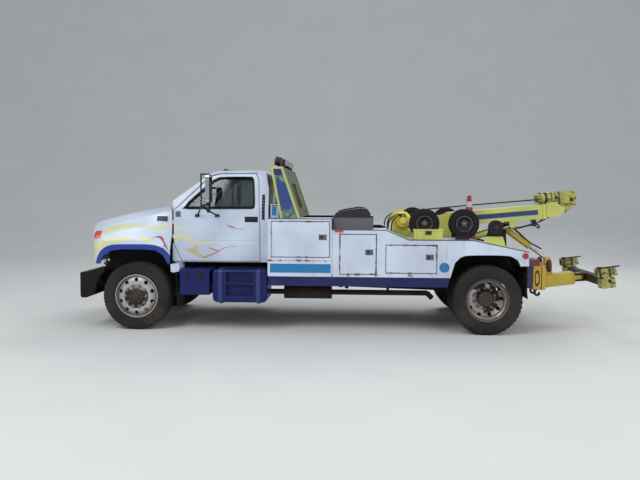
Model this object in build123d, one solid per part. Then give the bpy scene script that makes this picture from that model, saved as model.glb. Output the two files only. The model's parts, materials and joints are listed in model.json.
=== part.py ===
"""Medium-duty tow truck with a twin-winch boom, an underlift and a service body with six lockers.

x runs rearwards from the front axle, y to the truck's right and z up from the ground, in millimetres.
The finished model is moved along x so that its origin is the middle of its footprint."""

from build123d import *
import os
from math import atan2, cos, degrees, hypot, radians, sin

# Sizes: general
RUN = 0.3  # running or seating clearance between two pieces
GAP = 6  # clearance between pieces that move past each other
SEAM = 8  # gap round a door or hood

# Sizes: wheels and tyres
WHEELBASE = 4801
TYRE_R = 470
TYRE_W = 255
BEAD_R = 286
FLANGE_R = 298
RIM_HALF = 115  # half width over the rim flanges
FRONT_TYRE_Y = 1028  # middle of a front tyre
REAR_TYRE_Y = 1092  # middle of an outer rear tyre
TWIN_PITCH = 300  # outer tyre to inner tyre
STUD_PCD = 285.75
STUDS = 10
STUD_R = 12
HAND_HOLES = 10
HAND_HOLE_R = 27
HAND_HOLE_PCD = 456
HUB_R = 104
SPINDLE_R = 36

# Sizes: frame
RAIL_TOP = 829
RAIL_H = 254
RAIL_FLANGE = 76
RAIL_WALL = 8
RAIL_OUT = 432  # outer face of a rail's web
RAIL_FRONT = -560
RAIL_REAR = WHEELBASE + 539
CROSSMEMBERS = (-520, 980, 1700, WHEELBASE - 1900, WHEELBASE - 620, RAIL_REAR - 50)
CROSS_HALF = 30
CROSS_LIFT = 45  # crossmember's underside above the rail's

# Sizes: axles, springs and steering
AXLE_Z = TYRE_R
KINGPIN_Y = 880
KINGPIN_R = 20
BEAM_DROP = 90
BEAM_H = 84
BEAM_W = 76
ARM_X = 210  # tie rod ball behind the kingpin
TIE_Z = 330
TIE_R = 15
STEER_DEG = 35
SPRING_W = 76
FRONT_SPRING_Y = 394
REAR_SPRING_Y = 502
FRONT_SPRING_HALF = 545
REAR_SPRING_HALF = 500
AXLE_TUBE_R = 62
DIFF_R = 190
DRUM_R = 200

# Sizes: bumper and hood
BUMPER_FRONT = -786
BUMPER_BACK = -700
BUMPER_HALF = 1150
BUMPER_TOP = 797
BUMPER_BOTTOM = 441
TOW_EYE_R = 22
TOW_EYE_T = 25
TOW_EYE = (-650, 412)  # x, z of the eye under each bumper arm
HOOD_WALL = 25
HOOD_BOTTOM = 915
HOOD_REAR = 460
HOOD_TOP_REAR = 1722
NOSE_X = -716
FENDER_Y = 1155
HOOD_PIVOT = (-700, 868)
HOOD_OPEN_DEG = 50
GRILLE_HALF = 600
GRILLE_Z = (1025, 1365)
GRILLE_BARS = 6
# limits of the openings for a headlamp and a nose marker: x, distance from the middle, z
HEADLAMP = (NOSE_X - 60, -594, 640, 985, 1150, 1335)
NOSE_MARKER = (-598, -500, 1040, FENDER_Y + 60, 1262, 1366)
ARCH_TOP = 1120
ARCH_FRONT = -513
ARCH_REAR = 438
TRIM_W = 62  # blue lip round the front arch
TRIM_OUT = 8

# Sizes: cab
CAB_WALL = 62
CAB_HALF = 975
DOOR_CUT = CAB_HALF - 275  # door openings are cut outboard of this above the belt
CAB_FLOOR = 935
CAB_BACK = 1812
ROOF_Z = 2228
ROOF_HALF = CAB_HALF - 130
ROOF_R = 120  # roof's side corners
BELT_Z = 1675
COWL_X = 345
COWL_HALF = 620
DOOR_OPEN_DEG = 65
DOOR_HINGE = (479, CAB_HALF - 1)  # x, distance from the middle
GLASS_T = 6
WINDSHIELD = ((135, 1752), (140, 1790), (240, 2130))  # in from CAB_HALF, height

# Sizes: service body
BODY_FRONT = 1834
BODY_REAR = RAIL_REAR - 8
BODY_HALF = 1220
LOCKER_DEPTH = 560
BODY_WALL = 36
BODY_BOTTOM = 772
SKIRT_BOTTOM = 645
SKIRT_T = 40
LEVEL_1 = 1560
LEVEL_2 = 1415
LEVEL_3 = 1285
STEP_X = WHEELBASE - 2093
SLOPE_X = (WHEELBASE - 1371, WHEELBASE - 1061)
TAIL_SLOPE_X = WHEELBASE - 201
TAIL_TOP = 1134
TAIL_BOTTOM = 940
DOOR_T = 30
# name, first x, last x, lowest z, highest z of each locker door
LOCKERS = (
    ("front", BODY_FRONT + 54, STEP_X - 36, 1039, 1517),
    ("middle", STEP_X + 108, STEP_X + 592, 815, 1348),
    ("rear", SLOPE_X[0] + 4, SLOPE_X[0] + 680, 834, 1207),
)
LOCKER_OPEN_DEG = 100
LATCH = (104, 72)
WELL = (WHEELBASE - 543, WHEELBASE + 499)  # rear arch, front and rear foot
WELL_TOP = 1085
WELL_CORNER = 250
DECK_TOP = 1080
DECK_T = 30

# Sizes: boom
BOOM_PIVOT = (WHEELBASE - 451, 1524)
BOOM_DEG = 5.1
BOOM_UP_DEG = 30
BOOM_HALF_W = 190
BOOM_HALF_H = 102
BOOM_WALL = 10
BOOM_REAR = 1490
BOOM_OUT = 900  # travel of the inner boom
INNER_START = 320
INNER_END = 1560
HEAD_Y = 135
HEAD_Z = 196  # swivel tube above the boom's middle line
SWIVEL_R = 66
SWIVEL_BORE = 42
SWIVEL_X = (1455, 1680)
SHEAVE_R = 78
CHEEK_T = 12
CHEEK_GAP = 34
PIN_R = 28
LIFT_BASE = (WHEELBASE - 251, 1190)
LIFT_EYE = (WHEELBASE + 549, 1440)
LIFT_Y = 140
LIFT_R = 42
LIFT_ROD_R = 24
LIFT_PIN_R = 12
LIFT_DRIFT = 13.5  # room round the pin for the rod's straight-line motion

# Sizes: underlift
ARM_PIVOT = (WHEELBASE + 999, 597)
ARM_DEG = 7.5
ARM_UP_DEG = 30
ARM_DOWN_DEG = 8
ARM_HALF_W = 95
ARM_HALF_H = 92
ARM_WALL = 10
ARM_LEN = 500
STINGER_OUT = 350
TILT_EYE = (WHEELBASE + 1119, 930)
TILT_BASE = (WHEELBASE + 439, 1420)
TILT_R = 45
TILT_ROD_R = 24
TILT_PIN_R = 14
TILT_DRIFT = 20
CROSS_PIVOT = 585  # along the arm from its hinge
CROSSBAR_HALF = 700
CROSSBAR_YAW_DEG = 15
RECEIVER_Y = 790
RECEIVER_L = 250
RECEIVER_W = 150
RECEIVER_H = 110
RECEIVER_WALL = 12

# Places worked out from the sizes
RAIL_BOTTOM = RAIL_TOP - RAIL_H
BOOM_AXIS = (cos(radians(BOOM_DEG)), 0, sin(radians(BOOM_DEG)))
ARM_AXIS = (cos(radians(ARM_DEG)), 0, sin(radians(ARM_DEG)))
LIFT_DEG = degrees(atan2(LIFT_EYE[1] - LIFT_BASE[1], LIFT_EYE[0] - LIFT_BASE[0]))
LIFT_LEN = hypot(LIFT_EYE[1] - LIFT_BASE[1], LIFT_EYE[0] - LIFT_BASE[0])
TILT_DEG = degrees(atan2(TILT_EYE[1] - TILT_BASE[1], TILT_EYE[0] - TILT_BASE[0]))
TILT_LEN = hypot(TILT_EYE[1] - TILT_BASE[1], TILT_EYE[0] - TILT_BASE[0])
# End of sizes

os.makedirs("parts", exist_ok=True)


# Helpers for plain solids
def block(x0, x1, y0, y1, z0, z1):
    """Box between three pairs of limits."""
    return Pos((x0 + x1) / 2, (y0 + y1) / 2, (z0 + z1) / 2) * Box(x1 - x0, abs(y1 - y0), z1 - z0)


def face_of(points):
    """Flat face inside a closed outline of 3-D points."""
    return Face(Wire.make_polygon([Vector(*p) for p in points]))


def rounded(points, radii, inset):
    """Flat face in the plane y = 0 from (x, z) points, pulled in by inset. radii maps a point's number to
    its corner radius before the inset."""
    face = face_of([(x, 0, z) for x, z in points])
    for number, radius in radii.items():
        x, z = points[number]
        near = min(face.vertices(), key=lambda v: hypot(v.X - x, v.Z - z))
        face = face.fillet_2d(radius, [near])
    if inset:
        face = offset(face, amount=-inset, kind=Kind.INTERSECTION).faces()[0]
    return face


def side_plate(points, y0, y1):
    """Solid whose outline of (x, z) points runs from y0 to y1."""
    return Solid.extrude(face_of([(x, y0, z) for x, z in points]), Vector(0, y1 - y0, 0))


def front_plate(points, x0, x1):
    """Solid whose outline of (y, z) points runs from x0 to x1."""
    return Solid.extrude(face_of([(x0, y, z) for y, z in points]), Vector(x1 - x0, 0, 0))


def plan_plate(points, z0, z1):
    """Solid whose outline of (x, y) points runs from z0 to z1."""
    return Solid.extrude(face_of([(x, y, z0) for x, y in points]), Vector(0, 0, z1 - z0))


def bar(p, q, r):
    """Round bar of radius r from point p to point q."""
    run = Vector(*q) - Vector(*p)
    return Solid.make_cylinder(r, run.length, Plane(origin=p, z_dir=run))


def lathe(profile, x, y, z, side):
    """Solid turned about the line along y through (x, z). The profile's points are (distance outboard
    of y, radius), and side is -1 on the driver's side and 1 on the other."""
    section = face_of([(x, y + side * w, z + r) for w, r in profile])
    return Solid.revolve(section, 360, Axis((x, y, z), (0, 1, 0)))


def join(*shapes):
    """One node's shapes, fused where they meet."""
    return Part() + [s for s in shapes]


def flip(shape):
    """The same shape on the other side of the truck."""
    return shape.mirror(Plane.XZ)


def both(*shapes):
    """Shapes and their mirror images, as one node."""
    return join(*shapes, *[flip(s) for s in shapes])


def tilt(shape, pivot, deg):
    """Shape turned upwards by deg about the line along y through pivot (x, z)."""
    return shape.rotate(Axis((pivot[0], 0, pivot[1]), (0, 1, 0)), -deg)


nodes = {}


def keep(name, shape):
    nodes[name] = shape


# Frame with its crossmembers, cab mounts, hood brackets and underlift cheeks
def rail():
    web = block(RAIL_FRONT, RAIL_REAR, -RAIL_OUT, -RAIL_OUT + RAIL_WALL, RAIL_BOTTOM, RAIL_TOP)
    inner = -RAIL_OUT + RAIL_FLANGE
    low = block(RAIL_FRONT, RAIL_REAR, -RAIL_OUT, inner, RAIL_BOTTOM, RAIL_BOTTOM + RAIL_WALL)
    top = block(RAIL_FRONT, RAIL_REAR, -RAIL_OUT, inner, RAIL_TOP - RAIL_WALL, RAIL_TOP)
    return web + low + top


def frame_rails():
    reach = RAIL_OUT - RAIL_WALL / 2
    cross = [
        block(x - CROSS_HALF, x + CROSS_HALF, -reach, reach, RAIL_BOTTOM + CROSS_LIFT, RAIL_TOP - 40)
        for x in CROSSMEMBERS
    ]
    mounts = [
        block(x - 45, x + 45, -RAIL_OUT + 5, -RAIL_OUT + 70, RAIL_TOP - 4, CAB_FLOOR - RUN)
        for x in (620, 1740)
    ]
    px, pz = HOOD_PIVOT
    bracket = side_plate(
        [(RAIL_FRONT + 60, 720), (RAIL_FRONT + 60, RAIL_TOP), (px + 20, pz + 26),
         (px - 22, pz + 14), (px - 22, pz - 22), (RAIL_FRONT - 30, 720)],
        -RAIL_OUT + 2, -RAIL_OUT + 26,
    )
    bracket = bracket - bar((px, -RAIL_OUT - 9, pz), (px, -RAIL_OUT + 40, pz), 14)
    return join(*[rail(), flip(rail())], *cross, *mounts, *[flip(m) for m in mounts], bracket, flip(bracket))


keep("frame_rails", frame_rails())


# Tail: cross box, underlift cheeks, tilt-cylinder post and the hooks under them
TAIL_BOX = (RAIL_REAR + RUN, RAIL_REAR + 200, BODY_HALF - 170, 625, 920)  # front, rear, half width, bottom, top
CHEEK_Y = (ARM_HALF_W + GAP, ARM_HALF_W + GAP + 30)
D_RING_Y = 820
D_RING_R = 24


def tail_frame():
    x0, x1, half, z0, z1 = TAIL_BOX
    box = block(x0, x1, -half, half, z0, z1)
    box = box - block(x0 + 12, x1 - 12, -half + 12, half - 12, z0 - 1, z1 - 12)
    ax, az = ARM_PIVOT
    outline = [(x1 - 5, z0), (x1 - 5, z1 - 40), (ax + 70, z1 - 40), (ax + 70, az + 70),
               (ax + 62, az - 62), (ax - 62, az - 72)]
    cheek = side_plate(outline, -CHEEK_Y[1], -CHEEK_Y[0])
    cheek = cheek - bar((ax, -CHEEK_Y[1] - 1, az), (ax, -CHEEK_Y[0] + 1, az), 25 + RUN)
    ring = block(x1 - 5, x1 + 60, -D_RING_Y - 15, -D_RING_Y + 15, 690, 790)
    ring = ring - bar((x1 + 26, -D_RING_Y - 16, 740), (x1 + 26, -D_RING_Y + 16, 740), D_RING_R)
    hook = side_plate([(ax - 100, az - 37), (ax - 100, az - 167), (ax - 80, az - 202), (ax - 40, az - 212),
                       (ax - 10, az - 187), (ax - 10, az - 147), (ax - 35, az - 147), (ax - 35, az - 172),
                       (ax - 55, az - 179), (ax - 70, az - 157), (ax - 70, az - 37)], -CHEEK_Y[1] - 4, -CHEEK_Y[1] + 26)
    return join(box, cheek, flip(cheek), ring, flip(ring), hook, flip(hook))


keep("tail_frame", tail_frame())


# Front bumper with its tow eyes
def front_bumper():
    plate = side_plate(
        [(BUMPER_FRONT, BUMPER_BOTTOM + 26), (BUMPER_FRONT, BUMPER_TOP - 18), (BUMPER_FRONT + 16, BUMPER_TOP),
         (BUMPER_BACK, BUMPER_TOP), (BUMPER_BACK, BUMPER_BOTTOM), (BUMPER_FRONT + 15, BUMPER_BOTTOM)],
        -BUMPER_HALF, BUMPER_HALF,
    )
    hollow = block(BUMPER_FRONT + 12, BUMPER_BACK + 1, -BUMPER_HALF + 12, BUMPER_HALF - 12,
                   BUMPER_BOTTOM + 14, BUMPER_TOP - 14)
    side = side_plate(
        [(BUMPER_BACK - 4, BUMPER_BOTTOM + 6), (-602, 480), (-562, 640), (-505, 762), (-448, 800),
         (-448, 856), (BUMPER_BACK - 4, BUMPER_TOP)],
        -BUMPER_HALF, -BUMPER_HALF + 60,
    )
    arm = block(BUMPER_FRONT + 11, RAIL_FRONT - RUN, -RAIL_OUT, -RAIL_OUT + 60, 590, 690)
    ex, ez = TOW_EYE
    y = -RAIL_OUT + 10
    lug = side_plate([(ex - 42, 600), (ex - 34, ez - 10), (ex - 12, ez - 34), (ex + 12, ez - 34), (ex + 34, ez - 10),
                      (ex + 42, 600)], y, y + TOW_EYE_T)
    lug = lug - bar((ex, y - 1, ez), (ex, y + TOW_EYE_T + 1, ez), TOW_EYE_R)
    shell = plate - hollow
    return both(join(shell, side, arm, lug))


keep("front_bumper", front_bumper())


# Engine with gearbox, as a plain block, and the radiator ahead of it
def engine_block():
    body = block(-380, 420, -290, 290, 600, 1280)
    box = block(419, 900, -170, 170, 520, 880)
    foot = block(-60, 120, -RAIL_OUT + RAIL_WALL + RUN, -289, 660, 760)
    radiator = block(-542, -472, -355, 355, RAIL_TOP - 40 + RUN, 1330)
    return join(body, box, foot, flip(foot), radiator)


keep("engine_block", engine_block())


# Axles: dropped front beam with kingpin bosses, and rear housing with spindles
BOSS_R = 44
BOSS_HALF = 46


def axles():
    low = AXLE_Z - BEAM_DROP
    outline = [(-KINGPIN_Y, AXLE_Z - 34), (-KINGPIN_Y, AXLE_Z + 34), (-KINGPIN_Y + 70, AXLE_Z + 30),
               (-610, low + BEAM_H / 2), (610, low + BEAM_H / 2), (KINGPIN_Y - 70, AXLE_Z + 30),
               (KINGPIN_Y, AXLE_Z + 34), (KINGPIN_Y, AXLE_Z - 34), (KINGPIN_Y - 90, AXLE_Z - 38),
               (590, low - BEAM_H / 2), (-590, low - BEAM_H / 2), (-KINGPIN_Y + 90, AXLE_Z - 38)]
    beam = front_plate(outline, -BEAM_W / 2, BEAM_W / 2)
    for side in (-1, 1):
        for web in (-1, 1):
            x0, x1 = sorted((web * 12, web * 60))
            beam = beam - block(x0, x1, -560, 560, low - 26, low + 26)
        y = side * KINGPIN_Y
        beam = beam - block(-60, 60, y - 60, y + 60, 300, AXLE_Z - BOSS_HALF)
        beam = beam - block(-60, 60, y - 60, y + 60, AXLE_Z + BOSS_HALF, 700)
        beam = beam + bar((0, y, AXLE_Z - BOSS_HALF), (0, y, AXLE_Z + BOSS_HALF), BOSS_R)
        beam = beam - bar((0, y, 300), (0, y, 700), KINGPIN_R + RUN)
    x = WHEELBASE
    inner_face = REAR_TYRE_Y - TWIN_PITCH - 92
    housing = bar((x, -inner_face + 5, AXLE_Z), (x, inner_face - 5, AXLE_Z), AXLE_TUBE_R)
    bowl = lathe([(-110, 0), (-110, 120), (-60, DIFF_R), (60, DIFF_R), (110, 120), (110, 0)], x, 0, AXLE_Z, 1)
    nose = bar((x - DIFF_R - 90, 0, AXLE_Z + 8), (x - 60, 0, AXLE_Z), 78)
    spindle = bar((x, -930, AXLE_Z), (x, 930, AXLE_Z), SPINDLE_R)
    return join(beam, housing + bowl + nose + spindle)


keep("axles", axles())


# Leaf springs with their hangers, front under the rails and rear outboard of them
def leaf_pack(x, y, half, seat, eye_z, leaves):
    """Leaves of falling length on each other, bent down to the middle, with an eye at each end."""
    leaf_t = 12
    pieces = []
    for n in range(leaves):
        reach = half * (1 - 0.17 * n)
        drop = (eye_z - seat - leaves * leaf_t) * (reach / half) ** 2
        top = seat + (leaves - n) * leaf_t
        outline = [(x - reach, top + drop), (x - reach / 2, top + drop / 4), (x, top),
                   (x + reach / 2, top + drop / 4), (x + reach, top + drop),
                   (x + reach, top + drop - leaf_t), (x + reach / 2, top + drop / 4 - leaf_t),
                   (x, top - leaf_t), (x - reach / 2, top + drop / 4 - leaf_t), (x - reach, top + drop - leaf_t)]
        pieces.append(side_plate(outline, y - SPRING_W / 2, y + SPRING_W / 2))
    for end in (x - half, x + half):
        pieces.append(bar((end, y - SPRING_W / 2, eye_z), (end, y + SPRING_W / 2, eye_z), 24))
    pieces.append(block(x - 70, x + 70, y - SPRING_W / 2, y + SPRING_W / 2, seat, seat + leaves * leaf_t + 18))
    return pieces


def leaf_springs():
    front_seat = AXLE_Z - BEAM_DROP + BEAM_H / 2 + RUN
    front = leaf_pack(0, -FRONT_SPRING_Y, FRONT_SPRING_HALF, front_seat, RAIL_BOTTOM - 30, 4)
    for x in (-FRONT_SPRING_HALF, FRONT_SPRING_HALF):
        front.append(block(x - 22, x + 22, -FRONT_SPRING_Y - 38, -FRONT_SPRING_Y + 38,
                           RAIL_BOTTOM - 34, RAIL_BOTTOM - RUN))
    rear_seat = AXLE_Z + AXLE_TUBE_R + RUN
    x = WHEELBASE
    rear = leaf_pack(x, -REAR_SPRING_Y, REAR_SPRING_HALF, rear_seat, 690, 7)
    for end in (x - REAR_SPRING_HALF, x + REAR_SPRING_HALF):
        rear.append(block(end - 24, end + 24, -REAR_SPRING_Y - 30, -RAIL_OUT - RUN, 690, 790))
    return both(join(*front), join(*rear))


keep("leaf_springs", leaf_springs())


# Propeller shaft with its centre bearing, and the exhaust
SHAFT_R = 45


def prop_shaft():
    start = (905, 0, 555)
    middle = (CROSSMEMBERS[3], 0, 530)
    end = (WHEELBASE - DIFF_R - 95, 0, AXLE_Z + 12)
    bearing = block(middle[0] - 29, middle[0] + 29, -70, 70, 465, RAIL_BOTTOM + CROSS_LIFT - RUN)
    joints = [bar((x, 0, z), (x + 60, 0, z - 3), 58) for x, z in ((915, 555), (middle[0] - 120, 533), (end[0] - 84, 486))]
    return join(bar(start, middle, SHAFT_R), bar(middle, end, SHAFT_R), bearing, *joints)


keep("prop_shaft", prop_shaft())


def exhaust():
    y = -570
    z = 478
    end = WHEELBASE - 741
    muffler = bar((2000, y, z), (2690, y, z), 98)
    pipe = bar((960, y, z), (end, y, z), 38)
    tail = bar((end, y, z), (end + 60, y - 60, z - 60), 38)
    hangers = [block(x - 15, x + 15, y - 20, -RAIL_OUT - RUN, z, RAIL_BOTTOM + 60) for x in (1500, 2400, end - 560)]
    return join(muffler, pipe, tail, *hangers)


keep("exhaust", exhaust())


# Fuel tanks with their step recess, and the battery boxes, one of each on either side
TANK = (1072, 1825, 1200, 404, 846)  # front, rear, outer face, bottom, top
TANK_RECESS = (1265, 1635, 70, 500, 820)
TANK_R = 70  # lower corners
BATTERY = (622, 1027, 1195, 504, 844)


def side_tanks():
    x0, x1, out, z0, z1 = TANK
    r0, r1, deep, rz0, rz1 = TANK_RECESS
    form = rounded([(x0, z0), (x0, z1), (x1, z1), (x1, z0)], {0: TANK_R, 1: TANK_R / 2, 2: TANK_R / 2, 3: TANK_R}, 0)
    tank = Solid.extrude(form.moved(Pos(0, -out, 0)), Vector(0, 500, 0))
    tank = fillet(tank.edges().filter_by(lambda e: abs(e.center().Y + out) < 1), TANK_R / 3)
    tank = tank - block(r0, r1, -out - 1, -out + deep, rz0, rz1)
    step = block(r0 - 4, r1 + 4, -out + 6, -out + deep, (rz0 + rz1) / 2 - 10, (rz0 + rz1) / 2 + 14)
    arms = [block(x - 30, x + 30, -out + 499, -RAIL_OUT - RUN, 610, 740) for x in (x0 + 120, x1 - 120)]
    feet = [block(x - 22, x + 22, -out + 20, -out + 480, z0 - 14, z0 + 1) for x in (x0 + 120, x1 - 120)]
    bx0, bx1, bout, bz0, bz1 = BATTERY
    box = block(bx0, bx1, -bout, -bout + 440, bz0, bz1)
    lid = block(bx0 - 6, bx1 + 6, -bout - 4, -bout + 446, bz1 - 60, bz1 + 6)
    shelf = block(bx0 + 120, bx1 - 120, -bout + 439, -RAIL_OUT - RUN, 610, 700)
    return both(join(tank, step, *arms, *feet), join(box, lid, shelf))


keep("side_tanks", side_tanks())


# Cab: a shell cut from its side outline and its front outline, split where the doors meet it
def cab_side(inset):
    """Side outline of the cab, pulled in by inset on every side."""
    outer = [(478, CAB_FLOOR), (478, 1540), (345, 1600), (345, 1700), (1052, 2217), (1762, ROOF_Z + 2),
             (CAB_BACK, 1960), (CAB_BACK, CAB_FLOOR)]
    return rounded(outer, {4: 230, 5: 110}, inset)


def cab_front(inset):
    """Cross outline of the cab as (y, z), pulled in by inset: upright sides, a belt, sides that lean in, a low crown."""
    half = [(CAB_HALF - 26, CAB_FLOOR - 1), (CAB_HALF, CAB_FLOOR + 260), (CAB_HALF, BELT_Z), (ROOF_HALF, ROOF_Z - 22),
            (ROOF_HALF - 380, ROOF_Z + 12)]
    outline = half + [(-y, z) for y, z in reversed(half)]
    return rounded(outline, {2: 400, 3: ROOF_R, 6: ROOF_R, 7: 400}, inset)


def cab_plan(inset):
    """Plan outline of the cab as (x, y): a cowl swept back to the doors and rounded rear corners."""
    half = [(COWL_X, COWL_HALF), (DOOR_HINGE[0], CAB_HALF + 1), (DOOR_HINGE[0] + 1, CAB_HALF + 20),
            (CAB_BACK, CAB_HALF + 20)]
    outline = half + [(x, -y) for x, y in reversed(half)]
    return rounded(outline, {0: 90, 7: 90}, inset)


def cowl_plan(grow, x1):
    """Everything behind the cowl's front line, moved forward by grow."""
    half = [(COWL_X - grow, 0), (COWL_X - grow, COWL_HALF), (DOOR_HINGE[0] - grow, CAB_HALF + 1),
            (DOOR_HINGE[0] - grow, 1300), (x1, 1300)]
    return plan_plate([(x, -y) for x, y in reversed(half)] + half[1:], 800, 2400)


def cab_solid(inset):
    """Solid cab form with all its faces pulled in by inset: the common part of three outlines carried straight."""
    sides = Solid.extrude(cab_side(inset).moved(Pos(0, -1200, 0)), Vector(0, 2400, 0))
    fronts = Solid.extrude(cab_front(inset), Vector(0, 2400, 0)).rotate(Axis.Z, -90)
    plans = Solid.extrude(cab_plan(inset), Vector(0, 2400, 0)).rotate(Axis.X, 90)
    return sides & fronts & plans


# Door outline of (x, z) points: slanted lower front, belt, pillar, roof and rear edge
DOOR_OUTLINE = ((598, 949), (486, 1199), (486, 1660), (560, 1716), (905, 2050), (1010, 2132),
                (1120, 2168), (1622, 2176), (1662, 2100), (1691, 1500), (1691, 949))
WINDOW = ((605, 1678), (945, 2000), (1040, 2082), (1120, 2120), (1585, 2126), (1618, 1688))


def cab_glass_layer():
    """Thin layer in the middle of the cab's wall, from which every pane is cut."""
    return cab_solid(CAB_WALL / 2 - GLASS_T / 2) - cab_solid(CAB_WALL / 2 + GLASS_T / 2)


def prism_of(points, grow, y0, y1):
    """Prism along y of an (x, z) outline, made larger by grow on every side."""
    face = face_of([(x, y0, z) for x, z in points])
    if grow:
        face = offset(face, amount=grow, kind=Kind.INTERSECTION).faces()[0]
    return Solid.extrude(face, Vector(0, y1 - y0, 0))


def windshield_prism(grow):
    (y0, z0), (y1, z1), (y2, z2) = [(CAB_HALF - y, z) for y, z in WINDSHIELD]
    half = [(y0 + grow, z0 - grow), (y1 + grow, z1), (y2 + grow, z2 + grow)]
    outline = half + [(-y, z) for y, z in reversed(half)]
    return front_plate(outline, 200, 1150)


REAR_WINDOW = (430, 1700, 2040)  # half width, lowest, highest
HINGE_R = 5
HINGE_Z = (1262, 1462)  # foot of each hinge knuckle
HINGE_L = 60


DOOR_BELT = 1664  # below this a door is no thicker than the cab's wall


def cab_shell():
    shell = cab_solid(0) - cab_solid(CAB_WALL)
    for side in (-1, 1):
        y0, y1 = sorted((side * 1100, side * DOOR_CUT))
        above = prism_of(DOOR_OUTLINE, SEAM, y0, y1) & block(400, CAB_BACK, y0, y1, DOOR_BELT, ROOF_Z)
        y0, y1 = sorted((side * 1100, side * (CAB_HALF - CAB_WALL - SEAM)))
        shell = shell - above - prism_of(DOOR_OUTLINE, SEAM, y0, y1)
    inner = CAB_HALF - CAB_WALL - SEAM
    front = DOOR_HINGE[0]
    shell = shell + block(front, front + CAB_WALL, -inner, inner, CAB_FLOOR, 1560)
    shell = shell + block(front, CAB_BACK - 20, -inner, inner, CAB_FLOOR, CAB_FLOOR + CAB_WALL)
    shell = shell - windshield_prism(0)
    half, z0, z1 = REAR_WINDOW
    shell = shell - block(CAB_BACK - CAB_WALL - 60, CAB_BACK + 10, -half, half, z0, z1)
    side = side_plate([(HOOD_REAR + 8, 950), (HOOD_REAR + 8, 1195), (476, 1195), (586, 949)],
                      -CAB_HALF, -CAB_HALF + 55)
    tail = side_plate([(474, 914), (592, 926), (606, 872), (596, 818), (520, 800), (480, 808)], -1128, -840)
    web = block(500, 586, -940, -850, 880, CAB_FLOOR + 5)
    lugs = [block(front - 13, front + 6, -inner - 2, -inner + 25, z, z + HINGE_L) for z in HINGE_Z]
    lugs = lugs + [block(front - 13, front - HINGE_R - RUN, -CAB_HALF + 2, -inner + 25, z, z + HINGE_L) for z in HINGE_Z]
    return both(join(shell, side, tail, web, *lugs))


keep("cab_shell", cab_shell())
LAYER = cab_glass_layer()


def cab_glass():
    half, z0, z1 = REAR_WINDOW
    front = LAYER & windshield_prism(-RUN)
    rear = LAYER & block(CAB_BACK - 90, CAB_BACK + 10, -half + RUN, half - RUN, z0 + RUN, z1 - RUN)
    return join(front, rear)


keep("cab_glass", cab_glass())


# Doors, each cut from the same shell, with its window opening, handle and mirror
MIRROR_X = 1035
MIRROR_Y = CAB_HALF + 260
MIRROR_Z = (1765, 2145)
TUBE_R = 11


def door_left():
    shell = cab_solid(0) - cab_solid(CAB_WALL)
    panel = shell & prism_of(DOOR_OUTLINE, 0, -1100, -DOOR_CUT)
    panel = panel - block(400, CAB_BACK, -CAB_HALF + CAB_WALL, 0, 800, DOOR_BELT + SEAM)
    panel = panel - prism_of(WINDOW, 0, -1100, -DOOR_CUT)
    recess = block(1484, 1668, -CAB_HALF - 1, -CAB_HALF + 22, 1496, 1572)
    grip = block(1500, 1652, -CAB_HALF + 2, -CAB_HALF + 14, 1520, 1556)
    grips = join(grip, block(1510, 1530, -CAB_HALF + 10, -CAB_HALF + 24, 1524, 1552),
                 block(1622, 1642, -CAB_HALF + 10, -CAB_HALF + 24, 1524, 1552))
    foot_a = (820, -CAB_HALF + 12, 1585)
    foot_b = (1100, foot_a[1], 1585)
    elbow = (925, -MIRROR_Y + 35, 1712)
    crown = (925, -MIRROR_Y + 35, 2150)
    tip = (MIRROR_X, -MIRROR_Y, 2150)
    low_tip = (MIRROR_X, -MIRROR_Y, 1759)
    runs = ((foot_a, elbow), (foot_b, elbow), (elbow, crown), (crown, tip), (elbow, low_tip))
    tubes = [bar(p, q, TUBE_R) for p, q in runs]
    knobs = [Pos(*p) * Sphere(TUBE_R + 1) for p in (elbow, crown, tip, low_tip)]
    feet = [block(x - 30, x + 30, -CAB_HALF - 14, -CAB_HALF + 4, 1565, 1605) for x in (820, 1100)]
    head = block(MIRROR_X - 26, MIRROR_X + 26, -MIRROR_Y - 92, -MIRROR_Y + 88, *MIRROR_Z)
    head = fillet(head.edges().filter_by(Axis.X), 38)
    spot_z = MIRROR_Z[0] - 75
    spot = bar((MIRROR_X - 16, -MIRROR_Y, spot_z), (MIRROR_X + 16, -MIRROR_Y, spot_z), 62)
    x, y = DOOR_HINGE[0], -DOOR_HINGE[1]
    knuckles = [bar((x, y, z), (x, y, z + HINGE_L), HINGE_R) for z in HINGE_Z]
    straps = [block(x, x + 14, y - 1, y + 3, z, z + HINGE_L) for z in HINGE_Z]
    return join(panel - recess, grips, *tubes, *knobs, *feet, head, spot, *knuckles, *straps)


DOOR_L = door_left()
keep("door_left", DOOR_L)
keep("door_right", join(flip(DOOR_L)))
PANE = join(LAYER & prism_of(WINDOW, -RUN, -1100, -DOOR_CUT))
keep("door_glass_left", PANE)
keep("door_glass_right", join(flip(PANE)))


# Inside the cab: dashboard with steering wheel, and the seats
STEERING_WHEEL = (860, -420, 1430, 215)  # x, y, z, radius


def dashboard():
    inner = CAB_HALF - CAB_WALL - 2 * SEAM
    x0 = DOOR_HINGE[0] + CAB_WALL + RUN
    dash = side_plate([(x0, 1240), (x0, 1600), (620, 1625), (800, 1560), (840, 1440), (760, 1300)],
                      -inner, inner)
    x, y, z, r = STEERING_WHEEL
    ring = Solid.make_torus(r, 17, Plane(origin=(x, y, z), z_dir=(1, 0, 0.75)))
    hub = bar((x - 14, y, z - 11), (x + 10, y, z + 8), 48)
    column = bar((740, y, 1340), (x, y, z), 30)
    tilt_dir = Vector(1, 0, 0.75).normalized()
    across = Vector(0, 1, 0)
    up = tilt_dir.cross(across)
    centre = Vector(x, y, z)
    spokes = [bar(centre, centre + (across * cos(a) + up * sin(a)) * r, 12)
              for a in (radians(-20), radians(200), radians(90))]
    return join(dash, ring, hub, column, *spokes)


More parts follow.
